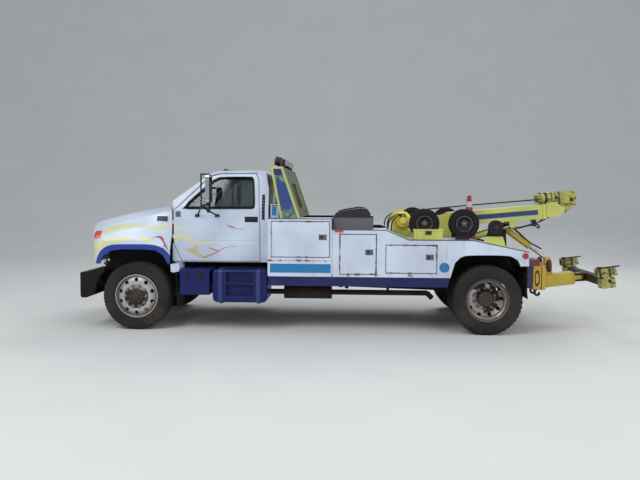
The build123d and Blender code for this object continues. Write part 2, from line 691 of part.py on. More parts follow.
keep("dashboard", dashboard())
SEAT = dict(width=560, x0=1040, x1=1560, low=1215, high=1345)


def seats():
    pieces = []
    for y0, y1 in ((-690, -130), (-60, 760)):
        base = block(1100, 1520, y0 + 60, y1 - 60, CAB_FLOOR + CAB_WALL + RUN, SEAT["low"] - RUN)
        cushion = block(SEAT["x0"], SEAT["x1"], y0, y1, SEAT["low"], SEAT["high"])
        back = side_plate([(1490, 1345 + RUN), (1610, 1345 + RUN), (1700, 1960), (1610, 1960)], y0, y1)
        pieces = pieces + [base, cushion, back]
    return Compound(children=pieces)


keep("seats", seats())


# Mud flaps behind each axle
FLAP_X = (562, BODY_REAR - 11)


def mud_flaps():
    front = block(FLAP_X[0], FLAP_X[0] + 8, -1140, -740, 320, 792)
    rear = block(FLAP_X[1], FLAP_X[1] + 8, -1216, -690, 300, TAIL_BOTTOM - RUN)
    stay = block(FLAP_X[0] - 12, FLAP_X[0] + 1, -1140, -RAIL_OUT - RUN, 745, 792)
    stay_rear = block(FLAP_X[1] - 14, FLAP_X[1] + 1, -1216, -RAIL_OUT - RUN, 790, 824)
    return both(join(front, stay), join(rear, stay_rear))


keep("mud_flaps", mud_flaps())


# Hood and fenders: one moulded shell through four cross sections, rounded by its side and plan outlines
HOOD_RADII = {1: 120, 2: 170, 4: 150, 5: 400}
# x of the section, then (half width, height) of its foot, fender side, shoulder, crease, crown edge and crown
HOOD_SECTIONS = (
    (NOSE_X - 20, ((FENDER_Y, HOOD_BOTTOM), (FENDER_Y, 1215), (1090, 1330), (960, 1384), (700, 1462), (300, 1492))),
    (-330, ((FENDER_Y, HOOD_BOTTOM), (FENDER_Y, 1235), (1085, 1375), (950, 1477), (740, 1566), (300, 1602))),
    (80, ((FENDER_Y, HOOD_BOTTOM), (FENDER_Y, 1240), (1055, 1425), (942, 1572), (770, 1644), (300, 1676))),
    (HOOD_REAR, ((1122, HOOD_BOTTOM), (1106, 1090), (985, 1330), (936, 1656), (800, 1698), (300, HOOD_TOP_REAR))),
)


def hood_section(x, rows, inset):
    """Closed cross section at x, pulled in by inset, or made larger where inset is below zero."""
    half = [(y - inset, z - (inset if n > 1 else 0)) for n, (y, z) in enumerate(rows)]
    if inset > 0:
        half[0] = (half[0][0], HOOD_BOTTOM - 60)
    last = 2 * len(half) - 1
    radii = {side: r - inset for n, r in HOOD_RADII.items() for side in (n, last - n)}
    face = rounded(half + [(-y, z) for y, z in reversed(half)], radii, 0)
    return face.rotate(Axis.Z, -90).moved(Pos(x, 0, 0))


def hood_form(inset):
    sections = [hood_section(x + (inset if n == 3 else 0), rows, inset).outer_wire()
                for n, (x, rows) in enumerate(HOOD_SECTIONS)]
    body = Solid.make_loft(sections)
    low = HOOD_BOTTOM - (70 if inset > 0 else 0)
    x0, x1 = NOSE_X + inset, HOOD_REAR + 60
    side = rounded([(x0 + 18, low), (x0, 1330), (x0 + 3, 1474 - inset), (-400, 1592 - inset), (150, 1706 - inset),
                    (x1, 1762 - inset), (x1, low)], {2: 115 - inset, 3: 1500}, 0)
    plan = rounded([(x1, 1300), (-400, 1300), (-402, FENDER_Y + 1 - inset), (-610 + inset, 1118 - inset),
                    (x0, 640), (x0, -640), (-610 + inset, inset - 1118), (-402, inset - FENDER_Y - 1), (-400, -1300),
                    (x1, -1300)], {3: 130 - inset, 4: 300, 5: 300, 6: 130 - inset}, 0)
    side = Solid.extrude(side.moved(Pos(0, -1300, 0)), Vector(0, 2600, 0))
    plan = Solid.extrude(plan, Vector(0, 2400, 0)).rotate(Axis.X, 90)
    return body & side & plan


def arch_prism(grow, y0, y1):
    """Flat-topped front arch opening, made larger by grow."""
    f, r, t, b = ARCH_FRONT - grow, ARCH_REAR + grow, ARCH_TOP + grow, HOOD_BOTTOM - 90
    points = [(f, b), (f, 912), (f + 52, 1020), (f + 170, t - 22), (f + 330, t), (r - 330, t),
              (r - 165, t - 14), (r - 66, t - 80), (r, 922), (r, b)]
    return side_plate(points, y0, y1)


HOOD_INSIDE = hood_form(HOOD_WALL)
HOOD_SKIN = hood_form(0) - HOOD_INSIDE


def hood():
    shell = HOOD_SKIN - (cowl_plan(GAP + 6, 700) & block(200, 700, -1250, 1250, 1450, 1900))
    shell = shell - arch_prism(0, -1300, -900) - arch_prism(0, 900, 1300)
    shell = shell - block(NOSE_X - 60, NOSE_X + 90, -GRILLE_HALF, GRILLE_HALF, *GRILLE_Z)
    for side in (-1, 1):
        for x0, x1, y0, y1, z0, z1 in (HEADLAMP, NOSE_MARKER):
            shell = shell - block(x0, x1, *sorted((side * y0, side * y1)), z0, z1)
    ring = arch_prism(TRIM_W, -1300, -1000) - arch_prism(0, -1301, -999)
    ring = ring & block(-1000, 1000, -1300, 0, HOOD_BOTTOM, 1400)
    trim = (hood_form(-TRIM_OUT) & ring) - HOOD_INSIDE
    px, pz = HOOD_PIVOT
    arm = side_plate([(px - 20, pz - 8), (px + 12, pz - 18), (px + 40, HOOD_BOTTOM + 30), (NOSE_X + 60, 1015),
                      (NOSE_X + 16, 1015), (NOSE_X + 8, HOOD_BOTTOM)], -RAIL_OUT + 32, -RAIL_OUT + 56)
    pin = bar((px, -RAIL_OUT + 3, pz), (px, -RAIL_OUT + 40, pz), 14 - RUN)
    return join(shell, trim, flip(trim), arm, flip(arm), pin, flip(pin))


keep("hood", hood())


# Grille with its bars, and the lamps beside it
def grille():
    z0, z1 = GRILLE_Z
    x0, x1 = NOSE_X + 4, NOSE_X + 34
    e = RUN
    frame = block(x0, x1, -GRILLE_HALF + e, GRILLE_HALF - e, z0 + e, z1 - e)
    frame = frame - block(x0 - 1, x1 + 1, -GRILLE_HALF + 30, GRILLE_HALF - 30, z0 + 28, z1 - 28)
    pitch = (z1 - z0 - 56) / (GRILLE_BARS + 1)
    bars = [block(x0 + 4, x1 - 4, -GRILLE_HALF + 28, GRILLE_HALF - 28,
                  z0 + 28 + pitch * (n + 1) - 9, z0 + 28 + pitch * (n + 1) + 9) for n in range(GRILLE_BARS)]
    posts = [block(x0 + 8, x1 - 6, y - 10, y + 10, z0 + 20, z1 - 20) for y in (-300, 0, 300)]
    return join(frame, *bars, *posts)


def lens(limits):
    """Lamp that fills its opening in the hood, as thick as the hood's wall, on the driver's side."""
    x0, x1, y0, y1, z0, z1 = limits
    place = block(x0 + RUN, x1 - RUN, -y1 + RUN, -y0 - RUN, z0 + RUN, z1 - RUN)
    return HOOD_SKIN & place


LAMPS = [lens(HEADLAMP), lens(NOSE_MARKER)]
keep("grille_and_headlamps", both(grille(), *LAMPS))


# Service body: one hollow side with three lockers, its lower skirt, and the wheel well
def well_prism(y0, y1):
    """Rear wheel arch with rounded shoulders."""
    f, r = WELL
    t, c = WELL_TOP, WELL_CORNER
    points = [(f - 30, 500), (f, SKIRT_BOTTOM), (f + 95, t - 108), (f + 170, t - 34), (f + c + 20, t),
              (r - c + 20, t), (r - 118, t - 62), (r - 46, t - 206), (r, 760), (r + 12, 500)]
    return side_plate(points, y0, y1)


def body_left():
    inner_y = -BODY_HALF + LOCKER_DEPTH
    outline = [(BODY_FRONT, BODY_BOTTOM), (BODY_FRONT, LEVEL_1), (STEP_X, LEVEL_1), (STEP_X, LEVEL_2),
               (SLOPE_X[0], LEVEL_2), (SLOPE_X[1], LEVEL_3), (TAIL_SLOPE_X, LEVEL_3), (BODY_REAR, TAIL_TOP),
               (BODY_REAR, TAIL_BOTTOM), (BODY_REAR - 99, TAIL_BOTTOM), (BODY_REAR - 192, BODY_BOTTOM)]
    side = side_plate(outline, -BODY_HALF, inner_y)
    side = side - well_prism(-BODY_HALF - 1, inner_y + 1)
    for name, x0, x1, z0, z1 in LOCKERS:
        side = side - block(x0 - 14, x1 + 14, -BODY_HALF + BODY_WALL, inner_y - BODY_WALL, z0 - 14, z1 + 8)
        side = side - block(x0 - SEAM, x1 + SEAM, -BODY_HALF - 1, -BODY_HALF + BODY_WALL + 1, z0 - SEAM, z1 + SEAM)
    skirt = side_plate([(BODY_FRONT + 14, SKIRT_BOTTOM), (BODY_FRONT + 14, BODY_BOTTOM + 4),
                        (WELL[0] + 36, BODY_BOTTOM + 4), (WELL[0], SKIRT_BOTTOM)],
                       -BODY_HALF, -BODY_HALF + SKIRT_T)
    ledges = [block(x - 40, x + 40, inner_y - 1, -RAIL_OUT - RUN, BODY_BOTTOM + 8, BODY_BOTTOM + 52)
              for x in (2300, STEP_X + 592, WELL[0] - 108)]
    return join(side, skirt, *ledges)


BODY_L = body_left()
keep("body_left", BODY_L)
keep("body_right", join(flip(BODY_L)))


# Locker doors, each a thick panel with a pan edge and a paddle latch
def locker_door(x0, x1, z0, z1):
    panel = block(x0, x1, -BODY_HALF, -BODY_HALF + DOOR_T, z0, z1)
    pan = block(x0 + 45, x1 - 45, -BODY_HALF + DOOR_T - 14, -BODY_HALF + DOOR_T + 1, z0 + 45, z1 - 45)
    w, h = LATCH
    cx = x1 - 40 - w / 2
    cz = (z0 + z1) / 2 + 30
    plate = block(cx - w / 2, cx + w / 2, -BODY_HALF - 4, -BODY_HALF + 2, cz - h / 2, cz + h / 2)
    paddle = block(cx - w / 2 + 16, cx + 8, -BODY_HALF - 9, -BODY_HALF - 3, cz - 22, cz + 22)
    hinge = bar((x0 - SEAM / 2, -BODY_HALF, z0), (x0 - SEAM / 2, -BODY_HALF, z1), SEAM / 2 - RUN)
    leaf = block(x0 - SEAM / 2, x0 + 12, -BODY_HALF - 1, -BODY_HALF + 3, z0, z1)
    return join(panel - pan, plate, paddle, hinge, leaf)


for name, x0, x1, z0, z1 in LOCKERS:
    leaf = locker_door(x0, x1, z0, z1)
    keep("locker_door_%s_left" % name, leaf)
    keep("locker_door_%s_right" % name, join(flip(leaf)))


# Deck between the lockers on its two long bearers
def deck():
    half = BODY_HALF - LOCKER_DEPTH - RUN
    plate = block(BODY_FRONT, BODY_REAR, -half, half, DECK_TOP - DECK_T, DECK_TOP)
    bearer = block(BODY_FRONT + 30, BODY_REAR - 20, -RAIL_OUT, -RAIL_OUT + 70, RAIL_TOP + RUN, DECK_TOP - DECK_T + 1)
    bearer = bearer - block(BODY_FRONT, BODY_REAR, -RAIL_OUT + 10, -RAIL_OUT + 71, RAIL_TOP + 12, DECK_TOP - DECK_T - 10)
    post_x, post_z = TILT_BASE
    post = side_plate([(post_x - 150, DECK_TOP - 5), (post_x - 34, post_z + 34), (post_x + 34, post_z + 34),
                       (post_x + 60, DECK_TOP - 5)], -TILT_R - 24, -TILT_R - 7)
    pin = bar((post_x, -TILT_R - 24, post_z), (post_x, TILT_R + 24, post_z), 22 - RUN)
    base_x, base_z = LIFT_BASE
    ears = []
    for y in (LIFT_Y - LIFT_R - 24, LIFT_Y + LIFT_R + 8):
        ears.append(side_plate([(base_x - 70, DECK_TOP - 5), (base_x - 30, base_z + 30), (base_x + 30, base_z + 30),
                                (base_x + 70, DECK_TOP - 5)], y, y + 16))
    ears.append(bar((base_x, LIFT_Y - LIFT_R - 24, base_z), (base_x, LIFT_Y + LIFT_R + 24, base_z), 20 - RUN))
    return join(plate, bearer, flip(bearer), post, flip(post), pin, *ears, *[flip(e) for e in ears])


keep("deck", deck())


# Light tower behind the cab: two leaning side panels, a top beam and a rear sheet with a window
TOWER_Y = (1010, 1070)
TOWER_TOP = 2265
TOWER_FOOT_X = (1988, 2259)
TOWER_TOP_X = (1849, 2018)
TOWER_WINDOW = (480, 1690, 2050)


def tower():
    f0, f1 = TOWER_FOOT_X
    t0, t1 = TOWER_TOP_X
    foot = LEVEL_1 + RUN
    side = side_plate([(f0, foot), (t0, TOWER_TOP), (t1, TOWER_TOP), (f1, foot)], -TOWER_Y[1], -TOWER_Y[0])
    top = block(t0, t1, -TOWER_Y[0] - 1, TOWER_Y[0] + 1, TOWER_TOP - 70, TOWER_TOP)
    sheet = side_plate([(f1 - 26, foot), (t1 - 26, TOWER_TOP - 2), (t1 - 6, TOWER_TOP - 2), (f1 - 6, foot)],
                       -TOWER_Y[0] - 1, TOWER_Y[0] + 1)
    half, z0, z1 = TOWER_WINDOW
    sheet = sheet - block(1900, 2400, -half, half, z0, z1)
    rib = block(f0 + 120, f1 - 20, -TOWER_Y[0] - 1, TOWER_Y[0] + 1, foot, foot + 50)
    return join(side, flip(side), top, sheet, rib)


keep("tower", tower())


# Light bar and work lamps on the tower, cab markers, side markers and tail lamps
def lamps():
    top = TOWER_TOP + RUN
    feet = [block(1905, 1975, y - 30, y + 30, top, top + 42) for y in (-480, 480)]
    bar_light = block(1860, 2010, -620, 620, top + 41, top + 125)
    work = []
    for y in (-860, 860):
        work.append(block(1925, 1955, y - 12, y + 12, top, top + 40))
        work.append(bar((1900, y, top + 92), (1985, y, top + 72), 62))
    cab_markers = [side_plate([(1120, 2219 + RUN), (1135, 2246), (1180, 2246), (1200, 2220 + RUN)], y - 35, y + 35)
                   for y in (-620, -200, 0, 200, 620)]
    side_marker = block(STEP_X + 34, STEP_X + 148, -BODY_HALF - 12, -BODY_HALF - RUN, 1378, 1408)
    disc = bar((BODY_REAR - 50, -BODY_HALF - 14, 1080), (BODY_REAR - 50, -BODY_HALF - RUN, 1080), 40)
    x0, x1, half, z0, z1 = TAIL_BOX
    tail = block(x0 + 20, x1 - 20, -half + 10, -half + 330, z1 + RUN, z1 + 95)
    return join(bar_light, *feet, *work, *cab_markers, side_marker, flip(side_marker), disc, flip(disc),
                tail, flip(tail))


keep("lamps", lamps())


# Winch base with the boom's pivot cheeks, and the two winches
WINCH_X = BOOM_PIVOT[0] - 645
WINCH_Z = 1524
DRUM_Y = (70, 400)
WINCH_BASE_TOP = 1372
PIVOT_R = 32


def winch_frame():
    base = block(WINCH_X - 235, WINCH_X + 305, -470, 470, DECK_TOP + RUN, WINCH_BASE_TOP)
    base = base - block(WINCH_X - 205, WINCH_X + 275, -440, 440, DECK_TOP - 1, WINCH_BASE_TOP - 30)
    x, z = BOOM_PIVOT
    inner = BOOM_HALF_W + GAP
    cheek = side_plate([(x - 420, DECK_TOP + RUN), (x - 345, WINCH_BASE_TOP), (x - 70, z + 62), (x + 60, z + 62),
                        (x + 84, z - 30), (x + 112, DECK_TOP + RUN)], -inner - 26, -inner)
    cheek = cheek - bar((x, -inner - 27, z), (x, -inner + 1, z), PIVOT_R + RUN)
    foot = block(x - 400, x + 112, -inner - 60, -inner, DECK_TOP + RUN, DECK_TOP + 20)
    return join(base, cheek, flip(cheek), foot, flip(foot))


keep("winch_frame", winch_frame())


def winches():
    y0, y1 = DRUM_Y
    spool = lathe([(y0, 0), (y0, 130), (y0 + 16, 130), (y0 + 16, 92), (y1 - 16, 92), (y1 - 16, 130), (y1, 130),
                   (y1, 116), (y1 + 88, 116), (y1 + 100, 96), (y1 + 100, 0)], WINCH_X, 0, WINCH_Z, -1)
    motor = bar((WINCH_X, -y1 - 99, WINCH_Z), (WINCH_X, -y1 - 190, WINCH_Z), 48)
    feet = [side_plate([(WINCH_X - 90, WINCH_BASE_TOP + RUN), (WINCH_X - 60, WINCH_Z), (WINCH_X + 60, WINCH_Z),
                        (WINCH_X + 90, WINCH_BASE_TOP + RUN)], -y - 14, -y)
            for y in (y0 - 13, y1 + 1)]
    return both(join(spool, motor, *feet))


keep("winches", winches())


# Boom, drawn level from its pivot and then tilted to its stored angle
def level_tube(x0, x1, half_w, half_h, wall):
    px, pz = BOOM_PIVOT
    outer = block(px + x0, px + x1, -half_w, half_w, pz - half_h, pz + half_h)
    return outer - block(px + x0 - 1, px + x1 + 1, -half_w + wall, half_w - wall, pz - half_h + wall, pz + half_h - wall)


def boom_outer():
    px, pz = BOOM_PIVOT
    tube = level_tube(70, BOOM_REAR, BOOM_HALF_W, BOOM_HALF_H, BOOM_WALL)
    butt = []
    for side in (-1, 1):
        y0, y1 = sorted((side * BOOM_HALF_W, side * (BOOM_HALF_W - 26)))
        butt.append(side_plate([(px - 60, pz - 40), (px - 60, pz + 40), (px - 20, pz + 62), (px + 100, pz + BOOM_HALF_H),
                                (px + 100, pz - BOOM_HALF_H), (px + 10, pz - 62)], y0, y1))
    pin = bar((px, -BOOM_HALF_W - GAP - 24, pz), (px, BOOM_HALF_W + GAP + 24, pz), PIVOT_R)
    collar = level_tube(BOOM_REAR - 50, BOOM_REAR, BOOM_HALF_W + 8, BOOM_HALF_H + 8, 17)
    plate = block(px + 60, px + 80, -BOOM_HALF_W + 2, BOOM_HALF_W - 2, pz - BOOM_HALF_H + 2, pz + BOOM_HALF_H - 2)
    pads = [block(px + BOOM_REAR - 120, px + BOOM_REAR - 4, -120, 120, z0, z1)
            for z0, z1 in ((pz - BOOM_HALF_H + BOOM_WALL - 1, pz - BOOM_HALF_H + BOOM_WALL + GAP - RUN),
                           (pz + BOOM_HALF_H - BOOM_WALL - GAP + RUN, pz + BOOM_HALF_H - BOOM_WALL + 1))]
    level = join(tube, *butt, pin, collar, plate, *pads)
    turned = tilt(level, BOOM_PIVOT, BOOM_DEG)
    ex, ez = LIFT_EYE
    ears = []
    for y in (LIFT_Y - LIFT_ROD_R - 22, LIFT_Y + LIFT_ROD_R + 8):
        ears.append(side_plate([(ex - 60, ez + 75), (ex - 28, ez - 28), (ex + 28, ez - 28), (ex + 60, ez + 80)], y, y + 14))
    ears.append(bar((ex, LIFT_Y - LIFT_ROD_R - 22, ez), (ex, LIFT_Y + LIFT_ROD_R + 22, ez), LIFT_PIN_R))
    return join(turned, *ears, *[flip(e) for e in ears])


keep("boom_outer", boom_outer())


def boom_inner():
    px, pz = BOOM_PIVOT
    half_w = BOOM_HALF_W - BOOM_WALL - GAP
    half_h = BOOM_HALF_H - BOOM_WALL - GAP
    tube = level_tube(INNER_START, INNER_END, half_w, half_h, 8)
    shoes = [block(px + INNER_START, px + INNER_START + 90, -120, 120, z0, z1)
             for z0, z1 in ((pz - half_h - GAP + RUN, pz - half_h + 1), (pz + half_h - 1, pz + half_h + GAP - RUN))]
    x0, x1 = SWIVEL_X
    head_z = pz + HEAD_Z
    saddle_x = BOOM_REAR + 6
    saddle = block(px + saddle_x, px + x1 - 10, -HEAD_Y - 55, HEAD_Y + 55, pz - half_h, head_z - 30)
    gusset = side_plate([(px + saddle_x, pz - half_h + 2), (px + x1 - 10, pz - half_h + 2), (px + x1 + 78, pz - 20),
                         (px + x1 + 78, pz + 46), (px + x1 - 10, pz + 90)], -HEAD_Y - 55, -HEAD_Y - 35)
    tubes = []
    for y in (-HEAD_Y, HEAD_Y):
        tubes.append(bar((px + saddle_x - 40, y, head_z), (px + x1, y, head_z), SWIVEL_R))
    body = join(tube, *shoes, saddle, gusset, flip(gusset), *tubes)
    for y in (-HEAD_Y, HEAD_Y):
        body = body - bar((px + saddle_x - 60, y, head_z), (px + x1 + 60, y, head_z), SWIVEL_BORE)
    return join(tilt(body, BOOM_PIVOT, BOOM_DEG))


keep("boom_inner", boom_inner())


def sheave_head_left():
    px, pz = BOOM_PIVOT
    z = pz + HEAD_Z
    y = -HEAD_Y
    x1 = SWIVEL_X[1]
    stem = bar((px + BOOM_REAR - 60, y, z), (px + x1 + 30, y, z), SWIVEL_BORE - RUN)
    cap = bar((px + BOOM_REAR - 66, y, z), (px + BOOM_REAR - 40, y, z), SWIVEL_R)
    disc = bar((px + x1 + GAP, y, z), (px + x1 + 34, y, z), SWIVEL_R + 2)
    centre_x = px + x1 + 118
    cheeks = []
    for s in (-1, 1):
        y0, y1 = sorted((y + s * CHEEK_GAP / 2, y + s * (CHEEK_GAP / 2 + CHEEK_T)))
        cheeks.append(side_plate([(px + x1 + 20, z - 62), (px + x1 + 20, z + 64), (centre_x + 46, z + 70),
                                  (centre_x + 82, z + 30), (centre_x + 76, z - 30), (centre_x + 30, z - 66)], y0, y1))
    wheel = lathe([(-15, 0), (-15, 78), (-6, 62), (6, 62), (15, 78), (15, 0)], centre_x, y, z, 1)
    pin = bar((centre_x, y - 36, z), (centre_x, y + 36, z), PIN_R)
    fork = side_plate([(px + x1 + 24, z - 60), (px + x1 + 66, z - 60), (px + x1 + 118, z - 98),
                       (px + x1 + 82, z - 122), (px + x1 + 24, z - 110)], y - 30, y + 30)
    return join(tilt(join(stem, cap, disc, *cheeks, wheel, pin, fork), BOOM_PIVOT, BOOM_DEG))


HEAD = sheave_head_left()
keep("sheave_head_left", HEAD)
keep("sheave_head_right", join(flip(HEAD)))


# Cylinders: a barrel and a rod in line, from a base pin to an eye
def barrel(base, angle, length, y, r, eye_r, bore_r, share):
    bx, bz = base
    body = bar((bx + 40, y, bz), (bx + length * share, y, bz), r)
    body = body - bar((bx + 90, y, bz), (bx + length, y, bz), bore_r + RUN)
    eye = bar((bx, y - r + 6, bz), (bx, y + r - 6, bz), r - 2)
    link = block(bx, bx + 60, y - r + 8, y + r - 8, bz - r + 10, bz + r - 10)
    return tilt(body + eye + link - bar((bx, y - 90, bz), (bx, y + 90, bz), eye_r), base, angle)


def rod(base, angle, length, y, rod_r, eye_r, eye_wall, start):
    bx, bz = base
    stem = bar((bx + start, y, bz), (bx + length - eye_r - 4, y, bz), rod_r)
    eye = bar((bx + length, y - rod_r, bz), (bx + length, y + rod_r, bz), eye_r + eye_wall)
    return tilt(stem + eye - bar((bx + length, y - 90, bz), (bx + length, y + 90, bz), eye_r), base, angle)


LIFT_BARREL = barrel(LIFT_BASE, LIFT_DEG, LIFT_LEN, -LIFT_Y, LIFT_R, 20, LIFT_ROD_R, 0.78)
LIFT_ROD = rod(LIFT_BASE, LIFT_DEG, LIFT_LEN, -LIFT_Y, LIFT_ROD_R, LIFT_PIN_R + LIFT_DRIFT, 13, 110)
keep("lift_barrels", both(LIFT_BARREL))
keep("lift_rods", both(LIFT_ROD))
keep("tilt_barrel", join(barrel(TILT_BASE, TILT_DEG, TILT_LEN, 0, TILT_R, 22, TILT_ROD_R, 0.6)))
keep("tilt_rod", join(rod(TILT_BASE, TILT_DEG, TILT_LEN, 0, TILT_ROD_R, TILT_PIN_R + TILT_DRIFT, 14, 260)))


# Underlift: hinged arm with its tilt lug, sliding stinger, crossbar and wheel receivers
def arm_tube(x0, x1, half_w, half_h, wall):
    px, pz = ARM_PIVOT
    outer = block(px + x0, px + x1, -half_w, half_w, pz - half_h, pz + half_h)
    return outer - block(px + x0 - 1, px + x1 + 1, -half_w + wall, half_w - wall, pz - half_h + wall, pz + half_h - wall)


def underlift_arm():
    px, pz = ARM_PIVOT
    tube = arm_tube(90, ARM_LEN, ARM_HALF_W, ARM_HALF_H, ARM_WALL)
    back = block(px + 80, px + 100, -ARM_HALF_W + 2, ARM_HALF_W - 2, pz - ARM_HALF_H + 2, pz + ARM_HALF_H - 2)
    ex, ez = TILT_EYE
    flat = []
    for side in (-1, 1):
        y0, y1 = sorted((side * ARM_HALF_W, side * (ARM_HALF_W - 24)))
        flat.append(side_plate([(px - 40, pz - 44), (px - 44, pz + 40), (px + 30, pz + 80), (px + 120, pz + ARM_HALF_H),
                                (px + 120, pz - ARM_HALF_H), (px + 20, pz - 60)], y0, y1))
    pin = bar((px, -CHEEK_Y[1] + 2, pz), (px, CHEEK_Y[1] - 2, pz), 25)
    level = tilt(join(tube, back, *flat, pin), ARM_PIVOT, ARM_DEG)
    lugs = []
    for side in (-1, 1):
        y0, y1 = sorted((side * (TILT_ROD_R + GAP), side * (TILT_ROD_R + GAP + 22)))
        lugs.append(side_plate([(px + 76, pz + 97), (ex - 46, ez - 10), (ex - 26, ez + 42), (ex + 26, ez + 42),
                                (ex + 52, ez - 60), (px + 190, pz + 112)], y0, y1))
    eye_pin = bar((ex, -TILT_ROD_R - GAP - 22, ez), (ex, TILT_ROD_R + GAP + 22, ez), TILT_PIN_R)
    return join(level, *lugs, eye_pin)


keep("underlift_arm", underlift_arm())


def stinger():
    px, pz = ARM_PIVOT
    half_w = ARM_HALF_W - ARM_WALL - GAP
    half_h = ARM_HALF_H - ARM_WALL - GAP
    tube = arm_tube(130, CROSS_PIVOT - 70, half_w, half_h, 8)
    shoes = [block(px + 130, px + 190, -50, 50, z0, z1)
             for z0, z1 in ((pz - half_h - GAP + RUN, pz - half_h + 1), (pz + half_h - 1, pz + half_h + GAP - RUN))]
    nose = block(px + CROSS_PIVOT - 74, px + CROSS_PIVOT, -half_w, half_w, pz - 30, pz + 30)
    round_end = bar((px + CROSS_PIVOT, 0, pz - 30), (px + CROSS_PIVOT, 0, pz + 30), half_w)
    cap = block(px + CROSS_PIVOT - 78, px + CROSS_PIVOT - 64, -half_w, half_w, pz - half_h, pz + half_h)
    pin = bar((px + CROSS_PIVOT, 0, pz - 62), (px + CROSS_PIVOT, 0, pz + 62), 30)
    return join(tilt(join(tube, *shoes, nose, round_end, cap, pin), ARM_PIVOT, ARM_DEG))


keep("stinger", stinger())
FORK_Z = (30 + GAP / 2, 58 + GAP / 2)
BEAM_X = (CROSS_PIVOT + 86, CROSS_PIVOT + 176)


def crossbar():
    px, pz = ARM_PIVOT
    x = px + CROSS_PIVOT
    forks = []
    for s in (-1, 1):
        z0, z1 = sorted((pz + s * FORK_Z[0], pz + s * FORK_Z[1]))
        plate = plan_plate([(x - 50, -28), (x - 50, 28), (x - 22, 70), (x + 90, 110), (x + 90, -110), (x - 22, -70)],
                           z0, z1)
        forks.append(plate - bar((x, 0, z0 - 1), (x, 0, z1 + 1), 30 + RUN))
    beam = block(px + BEAM_X[0], px + BEAM_X[1], -CROSSBAR_HALF, CROSSBAR_HALF, pz - FORK_Z[1], pz + FORK_Z[1])
    beam = beam - block(px + BEAM_X[0] + 10, px + BEAM_X[1] - 10, -CROSSBAR_HALF - 1, CROSSBAR_HALF + 1,
                        pz - FORK_Z[1] + 10, pz + FORK_Z[1] - 10)
    return join(tilt(join(beam, *forks), ARM_PIVOT, ARM_DEG))


keep("crossbar", crossbar())


def receivers():
    px, pz = ARM_PIVOT
    mid_x = px + (BEAM_X[0] + BEAM_X[1]) / 2
    top = pz + FORK_Z[1]
    y0, y1 = -RECEIVER_Y - RECEIVER_W / 2, -RECEIVER_Y + RECEIVER_W / 2
    x0, x1 = mid_x - RECEIVER_L / 2, mid_x + RECEIVER_L / 2
    stub = block(px + BEAM_X[0] + 10 + RUN, px + BEAM_X[1] - 10 - RUN, -RECEIVER_Y, -CROSSBAR_HALF + 160,
                 pz - FORK_Z[1] + 10 + RUN, top - 10 - RUN)
    turntable = bar((mid_x, -RECEIVER_Y, top - 2), (mid_x, -RECEIVER_Y, top + 26), 82)
    socket = block(mid_x - 92, mid_x + 98, y0, y1, pz - FORK_Z[1] - 14, top)
    z0 = top + 25
    box = block(x0, x1, y0, y1, z0, z0 + RECEIVER_H)
    box = box - block(x0 - 1, x1 + 1, y0 + RECEIVER_WALL, y1 - RECEIVER_WALL, z0 + RECEIVER_WALL,
                      z0 + RECEIVER_H - RECEIVER_WALL)
    handle = bar((mid_x - 30, -RECEIVER_Y, z0 + RECEIVER_H + 8), (mid_x + 200, -RECEIVER_Y, z0 + RECEIVER_H + 8), 10)
    stand = bar((mid_x, -RECEIVER_Y, z0 + RECEIVER_H - 2), (mid_x, -RECEIVER_Y, z0 + RECEIVER_H + 8), 12)
    return both(tilt(join(stub, socket, turntable, box, handle, stand), ARM_PIVOT, ARM_DEG))


keep("receivers", receivers())


# Front wheels: knuckles on the kingpins, tie rod, rims with hubs, and tyres
def knuckle_left():
    y = -KINGPIN_Y
    z0, z1 = AXLE_Z - BOSS_HALF, AXLE_Z + BOSS_HALF
    yoke = block(-42, 42, y - 62, y - BOSS_R - GAP, z0 - 50, z1 + 50)
    ears = [block(-42, 42, y - 62, y + 34, z0 - 50, z0 - RUN), block(-42, 42, y - 62, y + 34, z1 + RUN, z1 + 50)]
    pin = bar((0, y, z0 - 40), (0, y, z1 + 40), KINGPIN_R)
    spindle = bar((0, y - 50, AXLE_Z), (0, y - 250, AXLE_Z), SPINDLE_R)
    arm = side_plate([(-20, z0 - 50), (20, z0 - 10), (ARM_X + 18, TIE_Z + 52), (ARM_X + 18, TIE_Z + TIE_R + 6),
                      (ARM_X - 18, TIE_Z + TIE_R + 6), (20, z0 - 50)], y - 16, y + 16)
    ball = bar((ARM_X, y, TIE_Z - TIE_R - 8), (ARM_X, y, TIE_Z + TIE_R + 10), 9)
    return join(yoke, *ears, pin, spindle, arm, ball)


KNUCKLE = knuckle_left()
keep("knuckle_left", KNUCKLE)
keep("knuckle_right", join(flip(KNUCKLE)))


def tie_rod():
    rod_body = bar((ARM_X, -KINGPIN_Y + 20, TIE_Z), (ARM_X, KINGPIN_Y - 20, TIE_Z), TIE_R)
    ends = []
    for y in (-KINGPIN_Y, KINGPIN_Y):
        end = bar((ARM_X, y, TIE_Z - TIE_R), (ARM_X, y, TIE_Z + TIE_R), 24)
        ends.append(end - bar((ARM_X, y, TIE_Z - 40), (ARM_X, y, TIE_Z + 40), 9 + RUN))
    body = rod_body
    for y in (-KINGPIN_Y, KINGPIN_Y):
        body = body - bar((ARM_X, y, TIE_Z - 40), (ARM_X, y, TIE_Z + 40), 20)
    return join(body, *ends)


keep("tie_rod", tie_rod())

